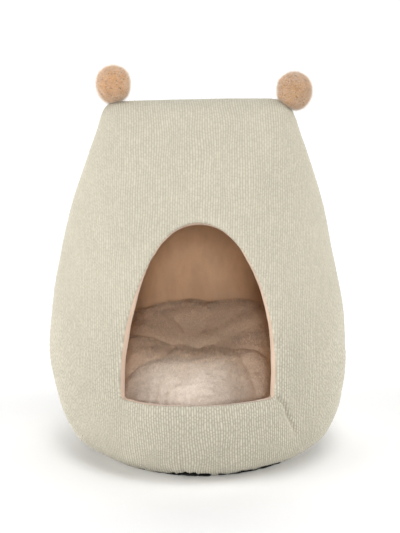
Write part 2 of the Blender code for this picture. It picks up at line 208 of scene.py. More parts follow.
Pucker = namedtuple("Pucker", "bearing depth spread rise")
HEM_PUCKERS = (
    # degrees, metres, degrees to either side, metres up the cloth
    Pucker(-138.0, 0.0011, 1.8, 0.028),
    Pucker(-122.0, 0.0012, 1.5, 0.028),
    Pucker(-104.5, 0.0018, 1.4, 0.034),
    Pucker(-98.0, 0.0024, 1.1, 0.062),
    Pucker(-93.5, 0.0014, 1.1, 0.048),
    Pucker(-80.0, 0.0010, 1.5, 0.028),
    Pucker(-68.0, 0.0013, 1.7, 0.028),
    Pucker(-57.0, 0.0009, 1.4, 0.028),
    Pucker(-40.0, 0.0012, 1.8, 0.028),
)
HEM_GAPS = (
    # degrees from and to which the base shows under the hem, and how much of it
    (-116.0, -103.5, 0.40),
    (-102.5, -92.0, 1.00),
    (-91.5, -85.0, 0.85),
    (-81.0, -77.0, 0.35),
    (-75.0, -61.5, 0.40),
    (-56.0, -40.5, 0.45),
    (-34.0, -22.0, 0.40),
    (38.0, 61.0, 0.40),
    (84.0, 101.0, 0.55),
    (128.0, 140.0, 0.40),
)
HEM_FALL = 0.0022  # how far the hem hangs down over the base's rim
HEM_RISE = 0.0030  # how far it is drawn up where the base shows
HEM_WIDTH = 0.02  # how far up the cloth that reaches
RIM_HIDES = 0.0035  # how far the base's rim draws in where the hem hangs over it

DOOR_DRIFT = np.array(
    [
        # degrees round the doorway's middle, from the right, and how far the outer and the
        # inner edge lie outwards there
        (0, 0.0004, 0.0020),
        (30, 0.0006, 0.0022),
        (45, 0.0000, 0.0019),
        (62, 0.0011, 0.0033),
        (76, 0.0027, 0.0040),
        (90, 0.0030, 0.0030),
        (104, 0.0021, 0.0025),
        (116, 0.0000, 0.0011),
        (135, -0.0035, -0.0007),
        (150, -0.0036, -0.0025),
        (165, -0.0026, -0.0037),
        (190, -0.0011, -0.0027),
        (211, 0.0000, 0.0000),
        (233, 0.0006, 0.0006),
        (262, -0.0016, -0.0016),
        (300, -0.0024, -0.0024),
        (316, -0.0016, -0.0018),
        (330, 0.0001, 0.0002),
    ]
)
DOOR_MIDDLE = 0.2125  # height of the point that those degrees are taken round

# ---------------------------------------------------------------- sizes of lining and facing

LINING_THICK = CLOTH - 0.0002
SEAM_MERGE = 0.00005  # corners nearer than this are one, along the seams of two halves
Drape = namedtuple("Drape", "at lean width share")  # share is a share of the fold depth
LINING_FOLD_HEIGHT = 0.2  # way up the cloth at which a fold lies at its place across
LINING_FOLDS = (
    Drape(0.041, 0.03, 0.0055, 1.6),
    Drape(0.054, 0.04, 0.0060, 1.1),
    Drape(0.071, 0.05, 0.009, 0.8),
    Drape(-0.030, -0.02, 0.014, 0.9),
    Drape(-0.075, -0.03, 0.012, 0.6),
)

FACING_START = 0.0054  # how deep in the doorway the facing strip begins
FACING_PAST = 0.0006  # how far it runs past the lining's inner side
FACING_THIN = 0.0006  # its thickness under the knit's turned edge
FACING_PUFF = 0.0003  # how far its middle puffs out, and how uneven that is

# ---------------------------------------------------------------- sizes of cushion and ears

CUSHION_ROUND = np.array(
    [
        # bearing in degrees, crest radius, crest height, fall from crest to tuft, girth radius
        (-180, 0.100, 0.1510, 1.05, 0.164),
        (-150, 0.103, 0.1430, 1.20, 0.160),
        (-120, 0.126, 0.1418, 1.35, 0.166),
        (-90, 0.120, 0.1395, 1.35, 0.165),
        (-58, 0.106, 0.1400, 1.35, 0.144),
        (-30, 0.097, 0.1445, 1.20, 0.145),
        (0, 0.102, 0.1540, 1.05, 0.157),
        (30, 0.120, 0.1735, 0.95, 0.164),
        (54, 0.128, 0.1790, 0.90, 0.164),
        (88, 0.126, 0.1762, 0.90, 0.164),
        (112, 0.125, 0.1745, 0.90, 0.164),
        (132, 0.122, 0.1690, 0.90, 0.164),
        (155, 0.111, 0.1580, 0.95, 0.164),
    ]
)
FILLING_MIDDLE = 0.06  # height of the point towards which folds sink
STUFF_SHRINK = 0.004  # how far the form is drawn in before it is filled
STUFF_VOXEL = 0.005
STUFF_PRESSURE = 4.0
STUFF_FRAMES = 20
STUFF_CAP = 0.006  # how far the filling pushes the cover out at most
BAG_CLEARANCE = 0.0015
PLEAT_DEPTH = 0.0017
TUFT_DEPTH = 0.003
TUFT_WIDTH = 0.013
WRINKLE_DEPTH = 0.0009

LEFT_FOLD = (
    # metres to the right and backwards, seen from above, as in the paths below
    (-0.003, -0.002), (-0.014, 0.002), (-0.025, 0.002), (-0.041, -0.002),
    (-0.061, 0.007), (-0.080, 0.004), (-0.17, 0.010),
)
RIGHT_FOLD = (
    (-0.003, -0.002), (0.008, 0.003), (0.025, 0.001), (0.044, -0.030),
    (0.080, -0.043), (0.165, -0.064),
)
BACK_LEFT_FOLD = (
    (-0.012, 0.004), (-0.0155, 0.0135), (-0.0185, 0.025), (-0.024, 0.037), (-0.033, 0.050),
)
FRONT_LEFT_FOLD = (
    (-0.036, -0.008), (-0.042, -0.046), (-0.049, -0.073), (-0.0600, -0.0845),
    (-0.072, -0.0895), (-0.084, -0.088), (-0.15, -0.108),
)
FRONT_RIGHT_FOLD = (
    (0.036, -0.006), (0.043, -0.018), (0.060, -0.078), (0.071, -0.098),
    (0.079, -0.115), (0.090, -0.16),
)
BACK_RIGHT_FOLD = ((0.007, 0.025), (0.012, 0.050), (0.020, 0.068))
Fold = namedtuple("Fold", "depth width sharp path")
CUSHION_FOLDS = (
    # depth and width of the broad valley, depth of the sharp line in its floor, path
    Fold(0.0050, 0.016, 0.0040, LEFT_FOLD),
    Fold(0.0048, 0.014, 0.0042, RIGHT_FOLD),
    Fold(0.0018, 0.007, 0.0028, BACK_LEFT_FOLD),
    Fold(0.0058, 0.014, 0.0055, FRONT_LEFT_FOLD),
    Fold(0.0026, 0.014, 0.0014, FRONT_RIGHT_FOLD),
    Fold(0.0014, 0.013, 0.0008, BACK_RIGHT_FOLD),
)
FOLD_LINE_WIDTH = 0.0042  # of the sharp line in every fold's floor

PILE_COUNT = 48000
PILE_HEIGHT = 0.085  # height above which the pile sets in
PILE_DROOP = (0.0, -0.1, -0.15)
PILE_WIDTHS = (0.00025, 0.00042)
PILE_ROOT = 0.001  # how deep the fibres stand in the ground
PILE_BRUSH = (
    # size of the swirls in the brushed pile, their share, step to their seed
    (0.05, 1.0, 0),
    (0.016, 0.40, 5),
    (0.006, 0.35, 9),
)
LEAST_RISE = 0.30  # a fibre that points less steeply off its ground is set up steeper

EARS = (
    # side, seed, how far the ball's underside hangs down
    ("left", 70, 0.0024),
    ("right", 80, 0.0),
)
BALL_INSET = np.array((0.0024, 0.0024, 0.0008))  # room left for the fuzz, least above and below
FUZZ_COUNT = 24000
FUZZ_WIDTHS = (0.00016, 0.00030)
FUZZ_ROOT = 0.0004
WOOL_LENGTH = 0.7  # of the short fuzz, as a share of the fuzz length
HAIR_LENGTH = 2.3  # of the long hairs among it
HAIR_WIDTH = 0.38  # of a hair, as a share of the width of the short fuzz
HAIR_COLOUR = (0.95, 0.87, 0.76)

# ---------------------------------------------------------------- light and camera

LAMPS = (
    # name, degrees round from the front to the right, degrees up, degrees across, strength
    ("front_softbox", 1, 15, 10, 0.90),
    ("high_softbox", 20, 62, 25, 0.60),
    ("left_panel", -68, 4, 60, 4.60),
    ("right_panel", 75, 12, 60, 2.80),
    ("overhead_softbox", 0, 78, 16, 0.42),
    ("rear_panel", 180, 30, 80, 2.00),
)
FLOOR_HALF = 30.0
CAMERA_AIM = (0.0027, 0.0, 0.2479)
SENSOR_WIDTH = 36.0


# ---------------------------------------------------------------- array helpers


def unit(vectors):
    """Each vector divided by its own length."""
    return vectors / np.maximum(np.linalg.norm(vectors, axis=-1, keepdims=True), 1e-12)


def smooth_step(x):
    """3x^2 - 2x^3, held at 0 below 0 and at 1 above 1."""
    x = np.clip(x, 0.0, 1.0)
    return x * x * (3 - 2 * x)


def bell(way, width):
    """A bell curve: 1 where way is nothing, and e^-1 at a way of width."""
    return np.exp(-((way / width) ** 2))


def eased(rows, at):
    """The rows of a table that closes on itself, each eased into the next by a smooth step of
    how far at lies between the two."""
    low = np.floor(at).astype(int) % len(rows)
    share = smooth_step(at - np.floor(at))
    share = share.reshape(share.shape + (1,) * (rows.ndim - 1))
    return rows[low] * (1 - share) + rows[(low + 1) % len(rows)] * share


def ripple(places, size, seed):
    """Smooth unevenness about nothing: the sum of plane waves about size long, each with its own
    direction and start, times the root of two over their number."""
    rng = np.random.default_rng(seed)
    dimensions = places.shape[-1]
    directions = unit(rng.normal(size=(RIPPLE_WAVES, dimensions)))
    lengths = size * rng.uniform(0.7, 1.5, RIPPLE_WAVES)
    starts = rng.uniform(0.0, 2 * pi, RIPPLE_WAVES)
    turns = places @ (directions / lengths[:, None]).T * 2 * pi + starts
    return np.cos(turns).sum(axis=-1) * (2 / RIPPLE_WAVES) ** 0.5


# ---------------------------------------------------------------- the cover's form


def smooth_rows(rows, steps):
    """A smooth curve through the rows of a table: each stretch is a cubic whose end slopes are
    taken from the rows on either side. Returns steps points, spaced evenly along the rows."""
    reach = np.concatenate([[0.0], np.cumsum(np.linalg.norm(np.diff(rows, axis=0), axis=1))])
    mirrored = rows[-2] * np.array([1.0, 1.0, -1.0, 1.0])
    last_reach = 2.0 * reach[-1] - reach[-2]
    padded_rows = np.vstack([2.0 * rows[0] - rows[1], rows, mirrored])
    padded_reach = np.concatenate([[reach[0] - reach[1]], reach, [last_reach]])
    slopes = (padded_rows[2:] - padded_rows[:-2]) / (padded_reach[2:] - padded_reach[:-2])[:, None]
    at = np.linspace(0.0, reach[-1], steps)
    k = np.clip(np.searchsorted(reach, at, side="right") - 1, 0, len(rows) - 2)
    span = (reach[k + 1] - reach[k])[:, None]
    t = (at - reach[k])[:, None] / span
    start = (2 * t**3 - 3 * t**2 + 1) * rows[k] + (t**3 - 2 * t**2 + t) * span * slopes[k]
    end = (3 * t**2 - 2 * t**3) * rows[k + 1] + (t**3 - t**2) * span * slopes[k + 1]
    return start + end


OUTER_PROFILE = smooth_rows(COVER_LEVELS, PROFILE_STEPS)


def inward(heights, widths, depth):
    """Moves a side profile inwards by depth, square to itself."""
    run = np.gradient(widths)
    rise = np.gradient(heights)
    length = np.hypot(run, rise)
    return heights + depth * run / length, widths - depth * rise / length


def profile(depth):
    """Heights, half widths, half depths and shifts of the form that lies depth inside the skin:
    its side and front profiles moved inwards, and read off at levels spread as the skin's are."""
    heights, half_widths, half_depths, shifts = OUTER_PROFILE.T
    if depth == 0.0:
        return heights, half_widths, half_depths, shifts
    side_heights, sides = inward(heights, half_widths, depth)
    front_heights, fronts = inward(heights, half_depths, depth)
    bottom = max(side_heights[0], front_heights[0])
    climb = heights[-1] - depth - bottom
    levels = bottom + climb * (heights - heights[0]) / (heights[-1] - heights[0])
    half_widths = np.interp(levels, side_heights, sides)
    half_depths = np.interp(levels, front_heights, fronts)
    half_depths[-1] = 0.0
    return levels, half_widths, half_depths, np.interp(levels, heights, shifts)


def half_section(s, half_width, half_depth):
    """Front half of one level section: s runs from -1 at the left seam to 1 at the right one.
    A stadium, walked at an even pace, is mixed with an ellipse."""
    radius = np.maximum(np.minimum(half_depth, half_width), 1e-7)
    straight = half_width - radius
    reach = np.abs(s) * (straight + radius * pi / 2)
    turn = np.clip((reach - straight) / radius, 0.0, pi / 2)
    stadium_x = np.minimum(reach, straight) + radius * np.sin(turn)
    stadium_y = radius * np.cos(turn)
    ellipse_x = half_width * np.sin(np.abs(s) * pi / 2)
    ellipse_y = half_depth * np.cos(s * pi / 2)
    x = (1 - CROWN) * stadium_x + CROWN * ellipse_x
    y = (1 - CROWN) * stadium_y + CROWN * ellipse_y
    return np.sign(s) * x, np.where(half_depth > 0, y, 0.0)


def settle(points):
    """Lets the ridge hang lower at its left end: a height changes by RIDGE_TILT times the share
    of the way to the ridge's end, less than nothing to the left and at most 0.4 to the right,
    and grows evenly from nothing at RIDGE_TILT_BOTTOM to the full at the ridge."""
    top, half_width = COVER_LEVELS[-1, :2]
    share = np.clip((points[..., 2] - RIDGE_TILT_BOTTOM) / (top - RIDGE_TILT_BOTTOM), 0.0, 1.0)
    sideways = np.clip(points[..., 0] / half_width, -1.0, 0.4)
    points[..., 2] += RIDGE_TILT * share * sideways
    return points


Skin = namedtuple("Skin", "side points normals heights along half_span")


def make_skin(depth, side, offset=0.0):
    """One half of the form that lies depth inside the cover, as a table of points. A row is one
    level; along it the points stand at even shares of the way from seam to seam, measured along
    the cloth. side is -1 for the front and 1 for the back. along is the way up the middle to
    each row, and half_span the way from the middle out to a seam. The normals point outwards:
    they are the cross product of the table's two directions, laid flat along the seams."""
    heights, widths, depths, shifts = profile(depth)
    s = np.linspace(-1.0, 1.0, SECTION_STEPS)
    x, y = half_section(s, widths[:, None], depths[:, None])
    steps = np.hypot(np.diff(x, axis=1), np.diff(y, axis=1))
    reach = np.concatenate([np.zeros((len(x), 1)), np.cumsum(steps, axis=1)], axis=1)
    shares = np.linspace(0.0, 1.0, SKIN_COLUMNS)
    x = np.array([np.interp(shares * r[-1], r, row) for r, row in zip(reach, x)])
    y = np.array([np.interp(shares * r[-1], r, row) for r, row in zip(reach, y)])
    z = np.broadcast_to(heights[:, None], x.shape)
    points = settle(np.stack([x + shifts[:, None], side * y + side * offset, z], axis=-1))
    middle = points[:, SKIN_COLUMNS // 2]
    along = np.concatenate([[0.0], np.cumsum(np.linalg.norm(np.diff(middle, axis=0), axis=1))])
    normals = side * np.cross(np.gradient(points, axis=0), np.gradient(points, axis=1))
    normals[:, [0, -1], 1] = 0.0
    normals[-1] = (0.0, 0.0, 1.0)
    normals[-1, [0, -1]] = normals[-2, [0, -1]]
    return Skin(side, points, unit(normals), heights, along, reach[:, -1] / 2)


def on_skin(skin, across, along):
    """Points and normals of a skin at each way out from the middle and way up, mixed from the
    four nearest points of its table by how near they are."""
    rows, columns = skin.points.shape[:2]
    row = np.interp(along, skin.along, np.arange(rows))
    span = np.interp(along, skin.along, skin.half_span)
    column = (np.clip(across / span, -1.0, 1.0) + 1) * (columns - 1) / 2
    r = np.minimum(row.astype(int), rows - 2)
    c = np.minimum(column.astype(int), columns - 2)
    up = (row - r)[..., None]
    out = (column - c)[..., None]
    mixed = []
    for table in (skin.points, skin.normals):
        low = table[r, c] * (1 - out) + table[r, c + 1] * out
        high = table[r + 1, c] * (1 - out) + table[r + 1, c + 1] * out
        mixed.append(low * (1 - up) + high * up)
    return mixed[0], unit(mixed[1])


def flat_places(skin, x, z):
    """Way out from the middle and way up the skin of the points that are seen from the front at
    x and height z."""
    row = np.interp(z, skin.heights, np.arange(len(skin.heights)))
    low = np.minimum(row.astype(int), len(skin.heights) - 2)
    up = (row - low)[:, None]
    rows_x = skin.points[low, :, 0] * (1 - up) + skin.points[low + 1, :, 0] * up
    shares = np.linspace(-1.0, 1.0, rows_x.shape[1])
    share = np.array([np.interp(at, row_x, shares) for at, row_x in zip(x, rows_x)])
    span = np.interp(row, np.arange(len(skin.heights)), skin.half_span)
    return np.stack([share * span, np.interp(z, skin.heights, skin.along)], axis=-1)


def way_to_seam(skin, places):
    """Way from each place along the cloth to the nearest of its side seams and its ridge."""
    across, along = places.T
    span = np.interp(along, skin.along, skin.half_span)
    return np.minimum(span - np.abs(across), skin.along[-1] - along)


# ---------------------------------------------------------------- the doorway's edge


def door_outline(count):
    """Evenly spaced points (x, z) round the doorway's outer edge as seen from the front:
    a sagging sill, rounded lower corners, upright jambs and a full arch."""
    turn = np.linspace(0.0, pi, 121)
    rise = DOOR_TOP - DOOR_SPRING
    arch_x = DOOR_HALF_WIDTH * np.cos(turn)
    arch_z = DOOR_SPRING + rise * np.sin(turn) ** (2 / ARCH_POWER)
    corner_middle = DOOR_HALF_WIDTH - DOOR_CORNER
    sweep = np.linspace(0.0, pi / 2, 7)
    sill_x = np.linspace(-corner_middle, corner_middle, 25)[1:-1]
    sill_z = DOOR_SILL + DOOR_SILL_SAG * (sill_x / corner_middle) ** 2
    corner_low = DOOR_SILL + DOOR_SILL_SAG
    left_x = -corner_middle - DOOR_CORNER * np.cos(sweep)
    left_z = corner_low + DOOR_CORNER * (1 - np.sin(sweep))
    x = np.concatenate([arch_x, left_x, sill_x, -left_x[::-1]])
    z = np.concatenate([arch_z, left_z, sill_z, left_z[::-1]])
    reach = np.concatenate([[0.0], np.cumsum(np.hypot(np.diff(x), np.diff(z)))])
    whole = reach[-1] + np.hypot(x[0] - x[-1], z[0] - z[-1])
    at = np.arange(count) * whole / count
    x = np.interp(at, np.append(reach, whole), np.append(x, x[0]))
    z = np.interp(at, np.append(reach, whole), np.append(z, z[0]))
    return x, z


DoorEdge = namedtuple("DoorEdge", "points into_wall into_door")


def door_drift(x, z):
    """How far the doorway's outer and inner edges lie outwards of the plain outline, mixed
    smoothly between the rows of the table by the bearing round the doorway's middle."""
    turn = np.degrees(np.arctan2(z - DOOR_MIDDLE, x)) % 360
    at = np.interp(turn, np.append(DOOR_DRIFT[:, 0], 360), np.arange(len(DOOR_DRIFT) + 1))
    return eased(DOOR_DRIFT[:, 1:], at).T


def door_edge(count):
    """The doorway's edge on the front skin, the direction in which the cut runs inwards at each
    point, and the direction that points into the opening, square to the cut."""
    skin = make_skin(0.0, -1)
    x, z = door_outline(count)
    outer, inner = door_drift(x, z)
    run = np.roll(x, -1) - np.roll(x, 1)
    rise = np.roll(z, -1) - np.roll(z, 1)
    away = unit(np.stack([rise, -run], axis=-1))
    x, z = x + away[:, 0] * outer, z + away[:, 1] * outer

    def front(x, z):
        """Depth of the front skin at x and height z."""
        places = flat_places(skin, x, z)
        return on_skin(skin, places[:, 0], places[:, 1])[0][:, 1]

    step = 0.002
    slope_x = (front(x + step, z) - front(x - step, z)) / (2 * step)
    slope_z = (front(x, z + step) - front(x, z - step)) / (2 * step)
    near_sill = np.clip((DOOR_SPRING + SILL_BLEND - z) / SILL_BLEND, 0.0, 1.0)
    fall = JAMB_FALL * slope_z + SILL_FALL * near_sill
    into_wall = unit(np.stack([-JAMB_TURN * slope_x, np.ones_like(x), -fall], axis=-1))
    widen = (inner - outer)[:, None] / JAMB * np.stack([away[:, 0], 0 * x, away[:, 1]], axis=-1)
    into_wall = unit(into_wall + widen)
    points = np.stack([x, front(x, z), z], axis=-1)
    around = np.roll(points, -1, axis=0) - np.roll(points, 1, axis=0)
    into_door = unit(np.cross(around, into_wall))
    middle = np.array([DOOR_CENTRE[0], points[:, 1].mean(), DOOR_CENTRE[1]])
    into_door *= np.sign(np.sum(into_door * (middle - points), axis=1))[:, None]
    return DoorEdge(points, into_wall, into_door)


def door_hole(skin, door, depth):
    """Places on a skin of the doorway's edge, depth along its cut."""
    edge = door.points + door.into_wall * depth
    return flat_places(skin, edge[:, 0], edge[:, 2])


def nearest_on_loop(loop, places):
    """Signed way from each place to a closed loop (less than nothing inside), the nearest point
    of the loop, and its place along the loop counted in the loop's own points."""
    ends = np.roll(loop, -1, axis=0)
    sides = ends - loop
    lengths = (sides**2).sum(axis=1)
    found = []
    for block in np.array_split(places, max(1, len(places) // 4000)):
        share = ((block[:, None] - loop) * sides).sum(axis=-1) / lengths
        share = np.clip(share, 0.0, 1.0)
        near = loop + share[..., None] * sides
        gap = np.linalg.norm(block[:, None] - near, axis=-1)
        best = gap.argmin(axis=1)
        k = np.arange(len(block))
        above = (loop[:, 1] > block[:, None, 1]) != (ends[:, 1] > block[:, None, 1])
        slope = sides[:, 0] / np.where(sides[:, 1] == 0, 1e-12, sides[:, 1])
        crossing = loop[:, 0] + (block[:, None, 1] - loop[:, 1]) * slope
        inside = (above & (block[:, None, 0] < crossing)).sum(axis=1) % 2 == 1
        signed = np.where(inside, -gap[k, best], gap[k, best])
        found.append(np.column_stack([signed, near[k, best], best + share[k, best]]))
    found = np.concatenate(found)
    return found[:, 0], found[:, 1:3], found[:, 3]


def at_loop(table, place):
    """Rows of a table that goes round a loop, mixed between neighbours at each place."""
    low = np.floor(place).astype(int)
    share = (place - low)[:, None]
    return table[low % len(table)] * (1 - share) + table[(low + 1) % len(table)] * share


# ---------------------------------------------------------------- cutting cloth to a skin

Cloth = namedtuple("Cloth", "places triangles hole near place")


def cut_cloth(skin, across_step, rows, hole, margin=0.0):
    """A flat grid of cloth cut to a skin. Its columns stand across_step apart from the middle
    outwards and its rows share the way up evenly; past a seam the columns gather on the seam.
    Triangles that reach nearer to the hole than margin are cut away, and the corners left on
    that cut are moved to lie exactly margin from the hole."""
    along = np.linspace(0.0, skin.along[-1], rows)
    span = np.interp(along, skin.along, skin.half_span)
    reach = int(np.ceil(span.max() / across_step))
    columns = np.arange(-reach, reach + 1)
    last = np.floor(span / across_step - 0.5).astype(int)[:, None]
    gathered = np.sign(columns) * span[:, None]
    across = np.where(np.abs(columns) > last, gathered, columns * across_step)
    row_starts = np.arange(rows)[:, None] * len(columns)
    names = np.clip(columns, -(last + 1), last + 1) + reach + row_starts
    squares = [names[:-1, :-1], names[:-1, 1:], names[1:, 1:], names[1:, :-1]]
    triangles = split_squares(np.stack(squares, axis=-1).reshape(-1, 4))
    along = np.broadcast_to(along[:, None], across.shape)
    places = np.stack([across, along], axis=-1).reshape(-1, 2)
    real = (triangles != np.roll(triangles, 1, axis=1)).all(axis=1)
    triangles = triangles[real]
    on_hole = np.zeros(len(places), dtype=bool)
    near = places.copy()
    place = np.zeros(len(places))
    if hole is not None:
        low = hole.min(axis=0) - HOLE_REACH
        high = hole.max(axis=0) + HOLE_REACH
        close = ((places > low) & (places < high)).all(axis=1)
        gap = np.full(len(places), 1.0)
        gap[close], near[close], place[close] = nearest_on_loop(hole, places[close])
        cut = (gap[triangles] < margin).any(axis=1)
        edge = np.unique(triangles[cut])
        triangles = triangles[~cut]
        edge = np.intersect1d(edge, triangles)
        away = unit(places[edge] - near[edge])
        places[edge] = near[edge] + away * margin
        on_hole[edge] = True
    used = np.unique(triangles)
    renamed = np.zeros(len(places), dtype=int)
    renamed[used] = np.arange(len(used))
    return Cloth(places[used], renamed[triangles], on_hole[used], near[used], place[used])


def border_of(triangles):
    """The corners that lie on an edge used by one triangle alone. An edge is counted under one
    number: its lower corner times the number of corners, plus its higher corner."""
    edges = np.concatenate([triangles[:, [k, (k + 1) % 3]] for k in range(3)])
    edges = np.sort(edges, axis=1)
    corners = triangles.max() + 1
    keys, counts = np.unique(edges[:, 0] * corners + edges[:, 1], return_counts=True)
    single = keys[counts == 1]
    return np.unique(np.concatenate([single // corners, single % corners]))


def round_centre(points, centre):
    """Angle of each point about a centre, as seen from the front, between 0 and a full turn."""
    return np.arctan2(points[:, 2] - centre[1], points[:, 0] - centre[0]) % (2 * pi)


def zip_loops(first, first_turn, second, second_turn, flip):
    """Joins two closed loops of corners by a band of triangles. Both are sorted by their angle,
    and whichever loop comes next takes the next step. flip turns the triangles over. Returns
    the triangles and, for each corner, its share of the turn and which loop it is on."""
    order_a = np.argsort(first_turn, kind="stable")
    order_b = np.argsort(second_turn, kind="stable")
    first, first_turn = first[order_a], first_turn[order_a]
    second, second_turn = second[order_b], second_turn[order_b]
    turns = np.concatenate([first_turn, second_turn])
    is_first = np.arange(len(turns)) < len(first)
    order = np.argsort(turns, kind="stable")
    steps = is_first[order]
    i = np.cumsum(steps)
    j = np.cumsum(~steps)
    behind_i = i - steps
    behind_j = j - ~steps

    def corner(loop, turn, k):
        """The corner before step k of a loop, and its share of the turn."""
        wrapped = (k - 1) % len(loop)
        return loop[wrapped], turn[wrapped] / (2 * pi) + np.floor_divide(k - 1, len(loop))

    a, at_a = corner(first, first_turn, behind_i)
    b, at_b = corner(second, second_turn, behind_j)
    c1, at_c1 = corner(first, first_turn, i)
    c2, at_c2 = corner(second, second_turn, j)
    c = np.where(steps, c1, c2)
    at_c = np.where(steps, at_c1, at_c2)
    triangles = np.stack([a, b, c], axis=-1)
    level = np.zeros(len(a))
    spots = np.stack(
        [
            np.stack([at_a, level], axis=-1),
            np.stack([at_b, level + 1], axis=-1),
            np.stack([at_c, np.where(steps, 0.0, 1.0)], axis=-1),
        ],
        axis=1,
    )
    if flip:
        return triangles[:, ::-1], spots[:, ::-1]
    return triangles, spots


def round_band(points, first, second, centre, flip):
    """A band of triangles between two loops of points that go round the same centre."""
    first_turn = round_centre(points[first], centre)
    second_turn = round_centre(points[second], centre)
    return zip_loops(first, first_turn, second, second_turn, flip)


# ---------------------------------------------------------------- making pieces


def new_piece(name, points, faces, slot, spots=None, **attributes):
    """A mesh piece from points and faces of equal length. spots gives each face corner's place
    on the bake map, and attributes give each point a number or a vector by name."""
    old = bpy.data.objects.get(name)
    if old is not None and "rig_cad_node" not in old:
        bpy.data.objects.remove(old, do_unlink=True)
    faces = np.asarray(faces)
    mesh = bpy.data.meshes.new(name)
    mesh.vertices.add(len(points))
    mesh.vertices.foreach_set("co", np.asarray(points, np.float32).ravel())
    mesh.loops.add(faces.size)
    mesh.loops.foreach_set("vertex_index", faces.astype(np.int32).ravel())
    mesh.polygons.add(len(faces))
    starts = np.arange(0, faces.size, faces.shape[1], dtype=np.int32)
    mesh.polygons.foreach_set("loop_start", starts)
    mesh.update(calc_edges=True)
    mesh.polygons.foreach_set("use_smooth", np.ones(len(faces), bool))
    if spots is not None:
        layer = mesh.uv_layers.new(name="OFBake")
        layer.data.foreach_set("uv", np.asarray(spots, np.float32).ravel())
    for key, values in attributes.items():
        values = np.asarray(values, np.float32)
        kind = "FLOAT" if values.ndim == 1 else "FLOAT_VECTOR"
        layer = mesh.attributes.new(key, kind, "POINT")
        layer.data.foreach_set("value" if values.ndim == 1 else "vector", values.ravel())
    mesh.validate()
    piece = bpy.data.objects.new(name, mesh)
    bpy.context.scene.collection.objects.link(piece)
    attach(piece, "root")
    return piece


def ring_faces(rings, steps):
    """Squares of a grid of rings, each ring closed on itself, numbered ring by ring."""
    ring, step = np.meshgrid(np.arange(rings - 1), np.arange(steps), indexing="ij")
    following = (step + 1) % steps
    below, above = ring * steps, (ring + 1) * steps
    square = [below + step, below + following, above + following, above + step]
    return np.stack(square, axis=-1).reshape(-1, 4)


def split_squares(squares):
    """Two triangles for each square."""
    return np.concatenate([squares[:, [0, 1, 2]], squares[:, [0, 2, 3]]])


def loop_band(first, second):
    """Squares between two closed loops of equally many points."""
    return np.stack([first, np.roll(first, -1), np.roll(second, -1), second], axis=-1)


def edit_all(piece, operator, **settings):
    """Runs one of Blender's edit-mode operators on the whole of a piece's mesh."""
    bpy.ops.object.select_all(action="DESELECT")
    bpy.context.view_layer.objects.active = piece
    piece.select_set(True)
    bpy.ops.object.mode_set(mode="EDIT")
    bpy.ops.mesh.select_all(action="SELECT")
    operator(**settings)
    bpy.ops.object.mode_set(mode="OBJECT")


# ---------------------------------------------------------------- materials


